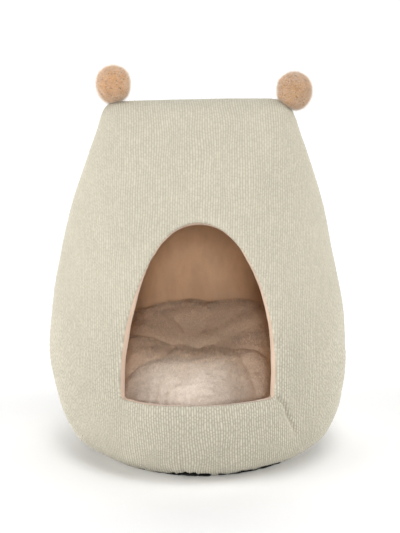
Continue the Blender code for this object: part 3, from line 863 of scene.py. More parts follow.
class Finish:
    """One material and short ways to add nodes to it. A value given to a node is a number, a
    colour, or the output of another node."""

    def __init__(self, name):
        self.material = bpy.data.materials.new(name)
        self.material.use_nodes = True
        self.tree = self.material.node_tree
        self.shader = self.tree.nodes["Principled BSDF"]

    def give(self, socket, value):
        """Gives a socket its value, filled out to as many numbers as the socket holds."""
        if isinstance(value, bpy.types.NodeSocket):
            self.tree.links.new(value, socket)
        elif hasattr(socket.default_value, "__len__") and np.isscalar(value):
            socket.default_value = [value] * len(socket.default_value)
        elif hasattr(value, "__len__") and len(value) < len(socket.default_value):
            socket.default_value = (*value, 1.0)
        else:
            socket.default_value = value

    def add(self, kind, output, inputs, **settings):
        """Adds a node with its inputs by name or number, and returns one of its outputs."""
        node = self.tree.nodes.new(kind)
        for key, value in settings.items():
            setattr(node, key, value)
        for key, value in inputs.items():
            self.give(node.inputs[key], value)
        return node.outputs[output]

    def math(self, operation, *values):
        """One of the operations on numbers, such as a product or a sine."""
        return self.add("ShaderNodeMath", 0, dict(enumerate(values)), operation=operation)

    def wave(self, operation, value, rate):
        """The sine or cosine of a value times rate."""
        return self.math(operation, self.math("MULTIPLY", value, rate))

    def scaled(self, vector, shares):
        """A vector, each of its numbers times its share."""
        values = {0: vector, 1: shares}
        return self.add("ShaderNodeVectorMath", 0, values, operation="MULTIPLY")

    def split(self, vector):
        """The three numbers of a vector."""
        node = self.tree.nodes.new("ShaderNodeSeparateXYZ")
        self.give(node.inputs[0], vector)
        return tuple(node.outputs)

    def attribute(self, name, output):
        """A number ("Fac") or a vector ("Vector") that the piece's points carry."""
        return self.add("ShaderNodeAttribute", output, {}, attribute_name=name)

    def place(self):
        """The point's place in the piece's own coordinates."""
        return self.add("ShaderNodeTexCoord", "Object", {})

    def noise(self, at, scale, detail=2.0, roughness=0.5):
        """Smooth noise from 0 to 1."""
        values = {"Vector": at, "Scale": scale, "Detail": detail, "Roughness": roughness}
        return self.add("ShaderNodeTexNoise", "Fac", values)

    def mix(self, share, first, second, blend="MIX"):
        """The first colour mixed with the second by share."""
        values = {0: share, 6: first, 7: second}
        return self.add("ShaderNodeMix", 2, values, data_type="RGBA", blend_type=blend)

    def tint(self, base, factor):
        """A colour times another colour or a number."""
        return self.mix(1.0, base, factor, blend="MULTIPLY")

    def spread(self, value, low, high, to_low=0.0, to_high=1.0):
        """A value that runs from to_low to to_high as another one runs from low to high, held
        at both ends."""
        values = {"Value": value, "From Min": low, "From Max": high}
        values.update({"To Min": to_low, "To Max": to_high})
        return self.add("ShaderNodeMapRange", 0, values)

    def bump(self, height, distance, strength, normal=None):
        """The normal tilted by a height, on top of another normal if there is one."""
        values = {"Height": height, "Distance": distance, "Strength": strength}
        if normal is not None:
            values["Normal"] = normal
        return self.add("ShaderNodeBump", "Normal", values)

    def finish(self, colour, roughness, normal=None, **constants):
        """Gives the shader its colour, roughness, normal and constants, and returns the
        material. An underscore in a constant's name stands for a space."""
        self.give(self.shader.inputs["Base Color"], colour)
        self.give(self.shader.inputs["Roughness"], roughness)
        if normal is not None:
            self.give(self.shader.inputs["Normal"], normal)
        for key, value in constants.items():
            self.shader.inputs[key.replace("_", " ")].default_value = value
        return self.material


def shade(colour, shares):
    """A colour, each of its three numbers times its own share or all of them times one."""
    return tuple(np.array(colour) * shares)


def wear(piece, material):
    """Gives a piece its one material."""
    piece.data.materials.clear()
    piece.data.materials.append(material)


# ---------------------------------------------------------------- settings a user would change


class CoverSettings(bpy.types.PropertyGroup):
    """What a user would change on the knit cover"""

    colour: bpy.props.FloatVectorProperty(
        name="Knit colour", description="Colour of the yarn",
        subtype="COLOR", default=(0.548, 0.516, 0.422), min=0, max=1,
    )
    wale_pitch: bpy.props.FloatProperty(
        name="Wale pitch", description="From one upright rib of the knit to the next",
        default=0.0032, unit="LENGTH",
    )
    nub_length: bpy.props.FloatProperty(
        name="Nub length", description="Mean length of the rice-shaped nubs along a rib",
        default=0.0066, unit="LENGTH",
    )
    relief: bpy.props.FloatProperty(
        name="Relief", description="Height of the ribs over the valleys",
        default=0.0011, unit="LENGTH",
    )


class LiningSettings(bpy.types.PropertyGroup):
    """What a user would change on the lining and the doorway facing"""

    colour: bpy.props.FloatVectorProperty(
        name="Lining colour", description="Colour of the velvet",
        subtype="COLOR", default=(0.93, 0.655, 0.430), min=0, max=1,
    )
    facing_colour: bpy.props.FloatVectorProperty(
        name="Facing colour", description="Colour of the strip round the doorway",
        subtype="COLOR", default=(0.62, 0.475, 0.37), min=0, max=1,
    )
    fold_depth: bpy.props.FloatProperty(
        name="Fold depth", description="How far the loose folds of the lining stand out",
        default=0.0016, unit="LENGTH",
    )


class CushionSettings(bpy.types.PropertyGroup):
    """What a user would change on the cushion"""

    colour: bpy.props.FloatVectorProperty(
        name="Plush colour", description="Colour of the pile",
        subtype="COLOR", default=(0.825, 0.705, 0.590), min=0, max=1,
    )
    pile_length: bpy.props.FloatProperty(
        name="Pile length", description="Length of the plush fibres",
        default=0.0056, unit="LENGTH",
    )
    fill: bpy.props.FloatProperty(
        name="Fill", description="0 is slack and 1 is full and tight",
        default=0.65, min=0, max=1,
    )


class EarSettings(bpy.types.PropertyGroup):
    """What a user would change on the ears"""

    colour: bpy.props.FloatVectorProperty(
        name="Felt colour", description="Colour of the felted wool",
        subtype="COLOR", default=(0.63, 0.365, 0.172), min=0, max=1,
    )
    fleck_colour: bpy.props.FloatVectorProperty(
        name="Fleck colour", description="Colour of the dark flecks",
        subtype="COLOR", default=(0.30, 0.16, 0.08), min=0, max=1,
    )
    fuzz_length: bpy.props.FloatProperty(
        name="Fuzz length", description="How far the loose fibres stand out",
        default=0.0028, unit="LENGTH",
    )


class BaseSettings(bpy.types.PropertyGroup):
    """What a user would change on the base cloth"""

    colour: bpy.props.FloatVectorProperty(
        name="Base colour", description="Colour of the base cloth",
        subtype="COLOR", default=(0.010, 0.010, 0.009), min=0, max=1,
    )


class StageSettings(bpy.types.PropertyGroup):
    """What a user would change on the floor, the light and the camera"""

    camera_distance: bpy.props.FloatProperty(
        name="Camera distance", description="From the dome's middle to the camera",
        default=1.8, unit="LENGTH",
    )
    camera_height: bpy.props.FloatProperty(
        name="Camera height", description="Height of the camera over the floor",
        default=0.653, unit="LENGTH",
    )
    focal_length: bpy.props.FloatProperty(
        name="Focal length", description="Focal length of the lens in millimetres",
        default=91.33,
    )
    room_light: bpy.props.FloatProperty(
        name="Room light", description="Strength of the even light from all sides",
        default=0.06, min=0,
    )
    floor_colour: bpy.props.FloatVectorProperty(
        name="Floor colour", description="Colour of the floor",
        subtype="COLOR", default=(0.95, 0.95, 0.95), min=0, max=1,
    )


# ---------------------------------------------------------------- the knit cover


def nub_pattern(across, along, pitch, length):
    """The knit's height from 0 to 1. Each wale is a rib: half of one less the cosine of its way
    across, to the power RIB_POWER. Up the wale it swells and pinches as |sin(pi t)| to the power
    NUB_POWER, where t counts nubs. Neighbour wales are half a nub apart, and t runs unevenly by
    two sines whose phases jump from wale to wale, so no two nubs are equally long. Every nub and
    every wale has a strength of its own, its mean plus its spread times a sine."""
    wale = np.floor(across / pitch)
    t = along / length + 0.5 * wale
    for pull, rate, jump in NUB_WAVES:
        t += pull * np.sin(rate * along + NUB_JUMP * np.sin(jump * wale))
    nub = np.floor(t)
    by_nub, by_wale, stir, by_both = NUB_SHUFFLE
    phase = by_nub * nub + by_wale * wale + stir * np.sin(by_both * nub * wale)
    strong = NUB_STRENGTH + NUB_SPREAD * np.sin(phase)
    tall = WALE_STRENGTH + WALE_SPREAD * np.sin(WALE_SHUFFLE * wale)
    swell = np.abs(np.sin(pi * t)) ** NUB_POWER * strong
    rib = (0.5 - 0.5 * np.cos(2 * pi * across / pitch)) ** RIB_POWER
    return rib * tall * (NUB_PINCH + (1 - NUB_PINCH) * swell)


def way_to_path(places, path):
    """Way from each place to an open path of points, and the share of the path that lies before
    the nearest point."""
    path = np.array(path)
    sides = np.diff(path, axis=0)
    lengths = np.linalg.norm(sides, axis=1)
    share = np.clip(((places[:, None] - path[:-1]) * sides).sum(axis=-1) / lengths**2, 0.0, 1.0)
    near = path[:-1] + share[..., None] * sides
    gaps = np.linalg.norm(places[:, None] - near, axis=-1)
    best = gaps.argmin(axis=1)
    k = np.arange(len(places))
    before = np.concatenate([[0.0], np.cumsum(lengths)])[best] + share[k, best] * lengths[best]
    return gaps[k, best], before / lengths.sum()


def base_bearing(points):
    """Bearing of each point about the upright line through the base's middle."""
    return np.arctan2(points[:, 1], points[:, 0] - BASE_SHIFT)


def cover_drape(skin, places, points, to_seam, to_door):
    """How far the padded cover stands out of its plain form, before the knit's own relief. It is
    uneven by a soft ripple, drawn in along its seams and its doorway as bell curves of the way
    there, pinched by upright puckers that die out above the hem, and, in front, drawn in along
    one slanting crease below the doorway's right corner."""
    out = COVER_RIPPLE * ripple(places, 0.09, seed=11 + skin.side)
    out *= smooth_step(to_seam / KNIT_CALM)
    out -= KNIT_SEAM_DEPTH * bell(to_seam, KNIT_SEAM_WIDTH)
    out -= KNIT_DRAW * bell(to_door, KNIT_DRAW_WIDTH)
    bearing = base_bearing(points)
    for pucker in HEM_PUCKERS:
        turn = bearing - radians(pucker.bearing) * -skin.side
        away = np.degrees(np.abs((turn + pi) % (2 * pi) - pi))
        out -= pucker.depth * bell(away, pucker.spread) * bell(places[:, 1], pucker.rise)
    if skin.side < 0:
        gap, share = way_to_path(places, CREASE_PATH)
        strong = smooth_step(share / 0.05 + 0.4) * smooth_step((1 - share) / 0.4)
        out -= CREASE_DEPTH * strong * bell(gap, CREASE_WIDTH)
    return out


def base_shows(turn):
    """How much of the base shows under the hem at each bearing, from 0 to 1: the share of the
    gap that holds the bearing, eased in and out at the gap's ends."""
    bearing = np.degrees(turn)
    total = 0.0 * bearing
    for first, last, share in HEM_GAPS:
        inside = smooth_step((bearing - first) / 2 + 0.5) * smooth_step((last - bearing) / 2 + 0.5)
        total = np.maximum(total, share * inside)
    return total


def knit_skin(outer, edge, settings, places, fade=1.0):
    """Points of the knit at places on the outer skin, and the nub pattern there. Each point is
    moved along the skin's normal by the drape and by relief times the nub pattern, SLACK more
    low down, where the knit is stretched less. fade is the share of the relief that is left.
    At the bottom the hem falls over the base's rim, and rises where the base shows."""
    across, along = places.T
    to_seam = way_to_seam(outer, places)
    to_door = 1.0 if edge is None else np.abs(nearest_on_loop(edge, places)[0])
    calm = smooth_step(np.minimum(to_seam, to_door) / KNIT_CALM - 0.1)
    sway = KNIT_SWAY * ripple(places, 0.055, seed=17) * calm
    points, normals = on_skin(outer, across + sway, along)
    height = nub_pattern(across, along, settings.wale_pitch, settings.nub_length)
    slack = 1 + SLACK * smooth_step((SLACK_TOP - along) / SLACK_REACH)
    relief = settings.relief * slack * (height - 0.5)
    relief = relief * smooth_step(to_seam / RELIEF_SEAM) * smooth_step(along / RELIEF_HEM) * fade
    drape = cover_drape(outer, places, points, to_seam, to_door)
    points = points + normals * (relief + drape)[:, None]
    lift = HEM_RISE * base_shows(base_bearing(points)) - HEM_FALL
    points[:, 2] += lift * (1 - smooth_step(along / HEM_WIDTH))
    return points, height


def band_spots(where, row):
    """Places on the bake map for a band between two loops: a narrow strip of its own at row."""
    return (where - [0.5, 0.0]) * BAND_SPOT + [0.2, row]


def knit_panel(name, side, settings):
    """One padded panel of the cover, closed all round. Its outer skin is knit cloth on a grid of
    half wales. Its inner skin is a coarser grid, WALL further in. A doorway's edge rolls over as
    a quarter circle before it runs in to the inner skin."""
    outer = make_skin(0.0, side, GAP / 2)
    inner = make_skin(WALL, side, GAP / 2)
    door = door_edge(DOOR_STEPS) if side < 0 else None
    edge = door_hole(outer, door, 0.0) if door else None
    deep_edge = door_hole(inner, door, WALL) if door else None
    rows = int(round(outer.along[-1] / (settings.nub_length / ROWS_PER_NUB))) + 1
    inner_rows = int(outer.along[-1] / KNIT_INNER_STEP)
    cloth = cut_cloth(outer, settings.wale_pitch / 2, rows, edge, KNIT_ROLL)
    back = cut_cloth(inner, KNIT_INNER_STEP, inner_rows, deep_edge)
    points, height = knit_skin(outer, edge, settings, cloth.places)
    flat = cloth.places
    faces = [cloth.triangles]
    border = border_of(cloth.triangles)
    rim = border[~cloth.hole[border]]
    if door:
        ring = border[cloth.hole[border]]
        ring = ring[np.argsort(round_centre(points[ring], DOOR_CENTRE))]
        near, place = cloth.near[ring], cloth.place[ring]
        away = unit(cloth.places[ring] - near)
        into_wall = at_loop(door.into_wall, place)
        into_door = at_loop(door.into_door, place)
        for k in range(1, KNIT_ROLL_RINGS + 2):
            bend = min(k / KNIT_ROLL_RINGS, 1.0) * pi / 2
            inset = (KNIT_ROLL + KNIT_LIP) * sin(bend) - KNIT_ROLL
            depth = KNIT_ROLL_DEPTH * (1 - cos(bend))
            if k > KNIT_ROLL_RINGS:  # the hidden underside of the turned edge
                inset, depth = 0.0, KNIT_ROLL_DEPTH + KNIT_UNDERSIDE
            places = near + away * max(-inset, 0.0)
            fade = max(cos(bend), 0.0) ** 0.5
            rolled, rolled_height = knit_skin(outer, edge, settings, places, fade)
            rolled += into_wall * depth + into_door * max(inset, 0.0)
            names = len(points) + np.arange(len(ring))
            points = np.concatenate([points, rolled])
            height = np.concatenate([height, rolled_height])
            flat = np.concatenate([flat, places])
            faces.append(split_squares(loop_band(ring, names)))
            ring = names
    count = len(points)
    inner_triangles = back.triangles + count
    if side < 0:
        inner_triangles = inner_triangles[:, ::-1]
    else:
        faces = [f[:, ::-1] for f in faces]
    spots = [flat[f] for f in faces]
    faces.append(inner_triangles)
    spots.append(back.places[inner_triangles - count] * INNER_SHARE + [0.0, INNER_ROW])
    inner_points = on_skin(inner, back.places[:, 0], back.places[:, 1])[0]
    points = np.concatenate([points, inner_points])
    back_border = border_of(back.triangles)
    at_hole = back.hole[back_border]
    back_rim = back_border[~at_hole] + count
    band, where = round_band(points, rim, back_rim, RIM_CENTRE, flip=side > 0)
    faces.append(band)
    spots.append(band_spots(where, RIM_ROW))
    if door:
        back_ring = back_border[at_hole] + count
        band, where = round_band(points, ring, back_ring, DOOR_CENTRE, flip=True)
        faces.append(band)
        spots.append(band_spots(where, DOOR_ROW))
    spots = (np.concatenate(spots) + [BAKE_WIDTH / 2, 0.01]) / BAKE_WIDTH
    flat = np.concatenate([flat, back.places])
    flat = np.column_stack([flat, np.zeros(len(flat))])
    height = np.concatenate([height, np.zeros(len(inner_points))])
    return new_piece(name, points, np.concatenate(faces), "knit", spots, cloth=flat, nub=height)


def knit_height(f, across, along, pitch, length):
    """The nub pattern once more, as nodes: the number of the wale, the number of the nub, and
    the knit's height from 0 to 1."""
    wale = f.math("FLOOR", f.math("DIVIDE", across, pitch))
    t = f.math("MULTIPLY_ADD", along, 1 / length, f.math("MULTIPLY", wale, 0.5))
    for pull, rate, jump in NUB_WAVES:
        phase = f.math("MULTIPLY", f.wave("SINE", wale, jump), NUB_JUMP)
        ahead = f.math("SINE", f.math("MULTIPLY_ADD", along, rate, phase))
        t = f.math("MULTIPLY_ADD", ahead, pull, t)
    nub = f.math("FLOOR", t)
    by_nub, by_wale, stir, by_both = NUB_SHUFFLE
    stirred = f.math("MULTIPLY", f.wave("SINE", f.math("MULTIPLY", nub, wale), by_both), stir)
    phase = f.math("MULTIPLY_ADD", nub, by_nub, f.math("MULTIPLY", wale, by_wale))
    own = f.math("SINE", f.math("ADD", phase, stirred))
    strong = f.math("MULTIPLY_ADD", own, NUB_SPREAD, NUB_STRENGTH)
    tall = f.math("MULTIPLY_ADD", f.wave("SINE", wale, WALE_SHUFFLE), WALE_SPREAD, WALE_STRENGTH)
    swell = f.math("POWER", f.math("ABSOLUTE", f.wave("SINE", t, pi)), NUB_POWER)
    swell = f.math("MULTIPLY", swell, strong)
    arch = f.math("MULTIPLY_ADD", f.wave("COSINE", across, 2 * pi / pitch), -0.5, 0.5)
    rib = f.math("MULTIPLY", f.math("POWER", arch, RIB_POWER), tall)
    nubs = f.math("MULTIPLY_ADD", swell, 1 - NUB_PINCH, NUB_PINCH)
    return wale, nub, f.math("MULTIPLY", rib, nubs)


def knit_finish(settings):
    """Matt cream yarn. Its bump is the nub pattern again, worked out from the cloth's own flat
    measures, with fine fibres over it; each nub has a tone of its own. The valleys are painted
    darker than the crests, a painted shade between the nubs, most of all low down, where the valleys
    are painted darker still and the crests lighter, painted shade and painted highlight."""
    f = Finish("cream_knit")
    cloth = f.attribute("cloth", "Vector")
    across, along, _ = f.split(cloth)
    wale, nub, height = knit_height(f, across, along, settings.wale_pitch, settings.nub_length)
    one_nub = f.add("ShaderNodeCombineXYZ", 0, {0: wale, 1: nub})
    tone = f.add("ShaderNodeTexWhiteNoise", "Value", {"Vector": one_nub}, noise_dimensions="3D")
    fibres = f.noise(f.scaled(cloth, (1.0, 0.35, 1.0)), 2600.0, detail=3.0, roughness=0.6)
    patches = f.noise(cloth, 9.0, detail=3.0)
    slack_full = SLACK_TOP - SLACK_REACH
    # Painted shade: the valleys are mixed towards a darker colour than the crests, the more so low
    # down.
    shade_power = f.spread(along, slack_full, SLACK_TOP, 0.70, 0.6)
    lit = f.math("POWER", f.spread(height, 0.0, 0.80), shade_power)
    painted_valley_shade = shade(settings.colour, (0.72, 0.70, 0.66))
    colour = f.mix(lit, painted_valley_shade, shade(settings.colour, (0.985, 0.985, 0.99)))
    colour = f.tint(colour, f.spread(tone, 0.0, 1.0, 0.95, 1.04))
    colour = f.tint(colour, f.spread(fibres, 0.25, 0.75, 0.93, 1.06))
    # Painted shade and painted highlight: low down the valleys are painted darker and the crests
    # lighter, for light that grazes the lower cloth.
    low = f.spread(along, 0.14, 0.26, 1.0, 0.0)
    colour = f.tint(colour, f.mix(low, WHITE, f.spread(height, 0.25, 0.72, 0.93, 1.07)))
    colour = f.tint(colour, f.spread(patches, 0.3, 0.7, 0.98, 1.02))
    slack = f.spread(along, slack_full, SLACK_TOP, 1 + SLACK, 1.0)
    ribs = f.bump(f.math("MULTIPLY", height, slack), settings.relief, 0.7)
    normal = f.bump(fibres, 0.00012, 0.6, ribs)
    return f.finish(
        colour, 0.95, normal, Sheen_Weight=0.12, Sheen_Roughness=0.5, Specular_IOR_Level=0.15
    )


class CATDOME_OT_cover(bpy.types.Operator):
    """Makes the two padded knit panels of the cover"""

    bl_idname = "catdome.cover"
    bl_label = "Knit cover"

    def execute(self, context):
        settings = context.scene.catdome_cover
        material = knit_finish(settings)
        for name, node, side in PANELS:
            panel = knit_panel(name, side, settings)
            wear(panel, material)
            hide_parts(node)
        return {"FINISHED"}


# ---------------------------------------------------------------- the lining and the facing strip


def lining_folds(skin, places, depth):
    """How far the loose lining stands into the cabin: a soft ripple, and a few upright folds on
    the back wall, each a bell curve of the way to a line that leans a little."""
    across, along = places.T
    out = 0.35 * depth * ripple(places, 0.11, seed=31 + skin.side)
    if skin.side > 0:
        for drape in LINING_FOLDS:
            line = drape.at + drape.lean * (along - LINING_FOLD_HEIGHT)
            out += depth * drape.share * bell(across - line, drape.width)
    return out * smooth_step(way_to_seam(skin, places) / 0.02) * smooth_step(along / 0.03)


def lining_bag(settings):
    """The lining: a front and a back half cut to the form JAMB inside the cover, moved inwards
    by the folds, joined along the seams and the ridge, and closed below by a disc."""
    door = door_edge(DOOR_STEPS)
    points, faces, flats, rims = [], [], [], []
    count = 0
    for side in (-1, 1):
        skin = make_skin(JAMB, side)
        hole = door_hole(skin, door, JAMB) if side < 0 else None
        cloth = cut_cloth(skin, LINING_STEP, int(skin.along[-1] / LINING_ROW), hole)
        on, normals = on_skin(skin, cloth.places[:, 0], cloth.places[:, 1])
        fold = lining_folds(skin, cloth.places, settings.fold_depth)
        if hole is not None:
            gap = nearest_on_loop(hole, cloth.places)[0]
            fold *= smooth_step(gap / 0.03)
        points.append(on - normals * np.maximum(fold, 0.0)[:, None])
        triangles = cloth.triangles + count
        faces.append(triangles[:, ::-1] if side < 0 else triangles)
        flats.append(cloth.places + [0.0, 0.6 * (side > 0)])
        low = np.flatnonzero(cloth.places[:, 1] == 0.0)
        low = low[np.argsort(cloth.places[low, 0])]
        rims.append(low + count)
        count += len(on)
    points = np.concatenate(points)
    rim = np.concatenate([rims[0], rims[1][-2:0:-1]])
    middle = points[rim].mean(axis=0)
    rings = [middle + (points[rim] - middle) * share for share in (0.75, 0.5, 0.25)]
    names = np.arange(count, count + 3 * len(rim)).reshape(3, -1)
    loops = np.vstack([rim, names])
    squares = [loop_band(loop, following) for loop, following in zip(loops[:-1], loops[1:])]
    faces.append(split_squares(np.concatenate(squares)))
    last = count + 3 * len(rim)
    faces.append(np.stack([loops[-1], np.roll(loops[-1], -1), np.full(len(rim), last)], axis=-1))
    points = np.concatenate([points, *rings, [middle]])
    flat = np.concatenate(flats)
    flat = np.concatenate([flat, points[len(flat) :, :2]])
    flat = np.column_stack([flat, np.zeros(len(flat))])
    return new_piece("lining_bag", points, np.concatenate(faces), "lining", cloth=flat)


def velvet_finish(name, colour, shade_high_up=1.0):
    """Short velvet: the pile lies in soft patches and upright streaks that catch the light
    differently, with a fine grain and a sheen at grazing angles. Its last argument is its tone high
    up in the cabin, a painted shade that darkens the velvet under the roof."""
    f = Finish(name)
    at = f.place()
    patches = f.noise(f.scaled(at, (1.0, 1.0, 0.35)), 26.0, detail=4.0, roughness=0.6)
    streaks = f.noise(f.scaled(at, (1.0, 1.0, 0.05)), 42.0, detail=3.0, roughness=0.55)
    grain = f.noise(at, 1500.0)
    dark, pale = shade(colour, (0.93, 0.90, 0.87)), shade(colour, 1.03)
    nap_and_shade = f.mix(f.spread(patches, 0.35, 0.65), dark, pale)
    nap_and_shade = f.tint(nap_and_shade, f.spread(grain, 0.2, 0.8, 0.90, 1.08))
    nap_and_shade = f.tint(nap_and_shade, f.spread(streaks, 0.36, 0.64, 0.92, 1.05))
    # Painted shade: the velvet darkens high up in the cabin, under the roof.
    nap_and_shade = f.tint(nap_and_shade, f.spread(f.split(at)[2], 0.215, 0.275, 1.0, shade_high_up))
    normal = f.bump(grain, 0.0003, 0.5, f.bump(patches, 0.0012, 0.35))
    return f.finish(
        nap_and_shade, 0.85, normal, Sheen_Weight=0.45, Sheen_Roughness=0.35, Specular_IOR_Level=0.2
    )


class CATDOME_OT_lining(bpy.types.Operator):
    """Makes the velvet lining bag inside the cover"""

    bl_idname = "catdome.lining"
    bl_label = "Lining"

    def execute(self, context):
        settings = context.scene.catdome_lining
        bag = lining_bag(settings)
        edit_all(bag, bpy.ops.mesh.remove_doubles, threshold=SEAM_MERGE)
        thicken(bag, LINING_THICK)
        wear(bag, velvet_finish("blush_velvet", settings.colour, shade_high_up=0.84))
        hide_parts("lining")
        return {"FINISHED"}


def thicken(piece, thickness):
    """Gives a sheet its thickness, behind the side to which its faces look."""
    solidify = piece.modifiers.new("thickness", "SOLIDIFY")
    solidify.thickness = thickness
    solidify.offset = -1.0
    solidify.use_rim = True


def facing_strip():
    """The strip over the doorway's cut edge: a soft-edged flat profile carried round the
    doorway. Depth runs from under the knit's turned edge to just past the lining's inner side.
    The strip starts thin and comes to its full thickness by a third of the way, and puffs out by
    a sine of that way, unevenly from place to place."""
    door = door_edge(FACING_COUNT)
    across = np.linspace(0.0, 1.0, 15)
    depth = FACING_START + (JAMB + FACING_PAST - FACING_START) * across
    rounding = np.sqrt(np.clip(1 - (1 - np.clip((1 - across) / 0.12, 0, 1)) ** 2, 0, 1))
    thickening = (CLOTH - FACING_THIN) * rounding * smooth_step(across / 0.35)
    top = GAP + FACING_THIN + thickening + FACING_PUFF * np.sin(pi * across)
    bottom = np.full_like(across, GAP)
    profile_depth = np.concatenate([depth, depth[-2:0:-1]])
    profile_inset = np.concatenate([top, bottom[-2:0:-1]])
    turn = np.arange(FACING_COUNT) / FACING_COUNT * 2 * pi
    ring = np.stack([np.cos(turn), np.sin(turn)], axis=-1)
    share = np.concatenate([across, across[-2:0:-1]])[:, None]
    uneven = FACING_PUFF * ripple(ring, 0.25, seed=5) * np.sin(pi * share)
    inset = profile_inset[:, None] + (profile_inset > GAP)[:, None] * uneven
    deep = np.broadcast_to(profile_depth[:, None], inset.shape)
    points = door.points + door.into_wall * deep[..., None] + door.into_door * inset[..., None]
    rings = len(profile_depth)
    squares = ring_faces(rings + 1, FACING_COUNT) % (rings * FACING_COUNT)
    return new_piece("doorway_facing", points.reshape(-1, 3), split_squares(squares), "lining")


class CATDOME_OT_facing(bpy.types.Operator):
    """Makes the strip that covers the doorway's cut edge"""

    bl_idname = "catdome.facing"
    bl_label = "Doorway facing"

    def execute(self, context):
        settings = context.scene.catdome_lining
        strip = facing_strip()
        edit_all(strip, bpy.ops.mesh.normals_make_consistent, inside=False)
        wear(strip, velvet_finish("blush_facing", settings.facing_colour))
        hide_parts("door_facing")
        return {"FINISHED"}


# ---------------------------------------------------------------- the base cloth


def turned(rings):
    """Points and triangles of a closed body from rings of points, its two ends closed by fans."""
    count, steps = rings.shape[:2]
    ends = [rings[0].mean(axis=0), rings[-1].mean(axis=0)]
    points = np.concatenate([rings.reshape(-1, 3), ends])
    faces = [split_squares(ring_faces(count, steps))]
    k = np.arange(steps)
    following = (k + 1) % steps
    top = (count - 1) * steps
    faces.append(np.stack([following, k, np.full(steps, count * steps)], axis=-1))
    faces.append(np.stack([top + k, top + following, np.full(steps, count * steps + 1)], axis=-1))
    return points, np.concatenate(faces)


def base_gather():
    """The gathered base: a thin rim whose radius waves in and out in uneven puckers, and the pad
    that it holds, up to the lining's floor. Each ring is its radius plus its share of the
    puckers, the sum of three sines of the bearing. The rim draws in and flattens where the
    cover's hem hangs over it."""
    turn = np.linspace(-pi, pi, BASE_STEPS, endpoint=False)
    hidden = 1 - base_shows(turn)
    pucker = 0.0010 * np.sin(23 * turn) * (0.6 + 0.4 * np.sin(3 * turn + 0.7))
    pucker += 0.0006 * np.sin(41 * turn + 1.0) + 0.0004 * np.sin(67 * turn + 2.0)
    folds = 0.5 + 0.5 * np.sin(90 * turn + 2.0 * np.sin(7 * turn))
    thick = BASE_RIM_THICK
    top = profile(WALL + GAP)[0][0] - GAP
    rim = (
        # radius, height, share of the puckers, depth of the gathers
        (BASE_RIM * 0.55, 0.0006, 0.0, 0.0),
        (BASE_RIM * 0.80, 0.0003, 0.0, 0.0003),
        (BASE_RIM - 0.0060, 0.0, 0.3, 0.0004),
        (BASE_RIM - 0.0030, 0.0, 0.6, 0.0003),
        (BASE_RIM - 0.0008, thick * 0.15, 1.0, 0.0),
        (BASE_RIM, thick * 0.45, 1.0, 0.0),
        (BASE_RIM - 0.0004, thick * 0.80, 1.0, 0.0),
        (BASE_RIM - 0.0020, thick, 1.0, 0.0),
        (BASE_RIM - 0.0080, thick, 0.6, 0.0),
        (BASE_PAD_RADIUS + 0.0050, thick, 0.0, 0.0),
        (BASE_PAD_RADIUS, top - 0.0040, 0.0, 0.0),
        (BASE_PAD_RADIUS - 0.0060, top, 0.0, 0.0),
    )
    rings = []
    for radius, height, share, gather in rim:
        reach = radius + share * (pucker - RIM_HIDES * hidden)
        z = height * (1 - 0.65 * share * hidden) + gather * folds
        x, y = BASE_SHIFT + reach * np.cos(turn), reach * np.sin(turn)
        rings.append(np.stack([x, y, z + 0 * turn], axis=-1))
    points, faces = turned(np.array(rings))
    return new_piece("base_gather", points, faces, "base")


def base_finish(settings):
    """Near-black plain weave with a faint grey rub on its threads."""
    f = Finish("black_base_cloth")
    at = f.place()
    threads = {"Vector": at, "Scale": 420.0, "Distortion": 1.0}
    warp, weft = (f.add("ShaderNodeTexWave", "Fac", threads, bands_direction=way) for way in "XY")
    weave = f.math("MULTIPLY", warp, weft)
    colour = np.array(settings.colour)
    dust = f.spread(f.noise(at, 60.0, detail=3.0), 0.45, 0.8, 0.0, 0.6)
    dusty = f.mix(dust, tuple(colour), tuple(colour * 2.6 + 0.006))
    rubbed = f.mix(f.spread(weave, 0.0, 1.0, 0.0, 0.5), dusty, tuple(colour * 2.0 + 0.004))
    return f.finish(rubbed, 0.8, f.bump(weave, 0.0002, 0.6), Specular_IOR_Level=0.25)


class CATDOME_OT_base(bpy.types.Operator):
    """Makes the gathered base cloth and its pad"""

    bl_idname = "catdome.base"
    bl_label = "Base cloth"

    def execute(self, context):
        base = base_gather()
        wear(base, base_finish(context.scene.catdome_base))
        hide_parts("base_cloth")
        return {"FINISHED"}


# ---------------------------------------------------------------- the cushion


def round_table(turn, column):
    """A column of the cushion's table at each bearing, eased from row to row and round again."""
    bearings = np.radians(CUSHION_ROUND[:, 0])
    values = CUSHION_ROUND[:, column]
    bearing = (turn + pi) % (2 * pi) - pi
    return eased(values, np.interp(bearing, np.append(bearings, pi), np.arange(len(values) + 1)))


def fold_depths(points, narrow):
    """How deep the sewn folds are at each point: every fold is a bell curve of the way to its
    path as seen from above, and all but dies out over the last eighth of that path. narrow
    picks the sharp line in the fold's floor instead of its broad valley."""
    total = np.zeros(len(points))
    for fold in CUSHION_FOLDS:
        gap, share = way_to_path(points[:, :2], fold.path)
        depth, width = (fold.sharp, FOLD_LINE_WIDTH) if narrow else (fold.depth, fold.width)
        ending = smooth_step((1 - share) / 0.15 + 0.15)
        total = np.maximum(total, depth * bell(gap, width) * ending)
    return total


def sink(points, depths):
    """Moves points of the cushion towards the middle of its filling by depths, to the full above
    10 cm and not at all below 5 cm, eased in between."""
    inwards = unit(points - [0.0, 0.0, FILLING_MIDDLE])
    upper = smooth_step((points[:, 2] - 0.05) / 0.05)
    return points - inwards * (depths * upper)[:, None]


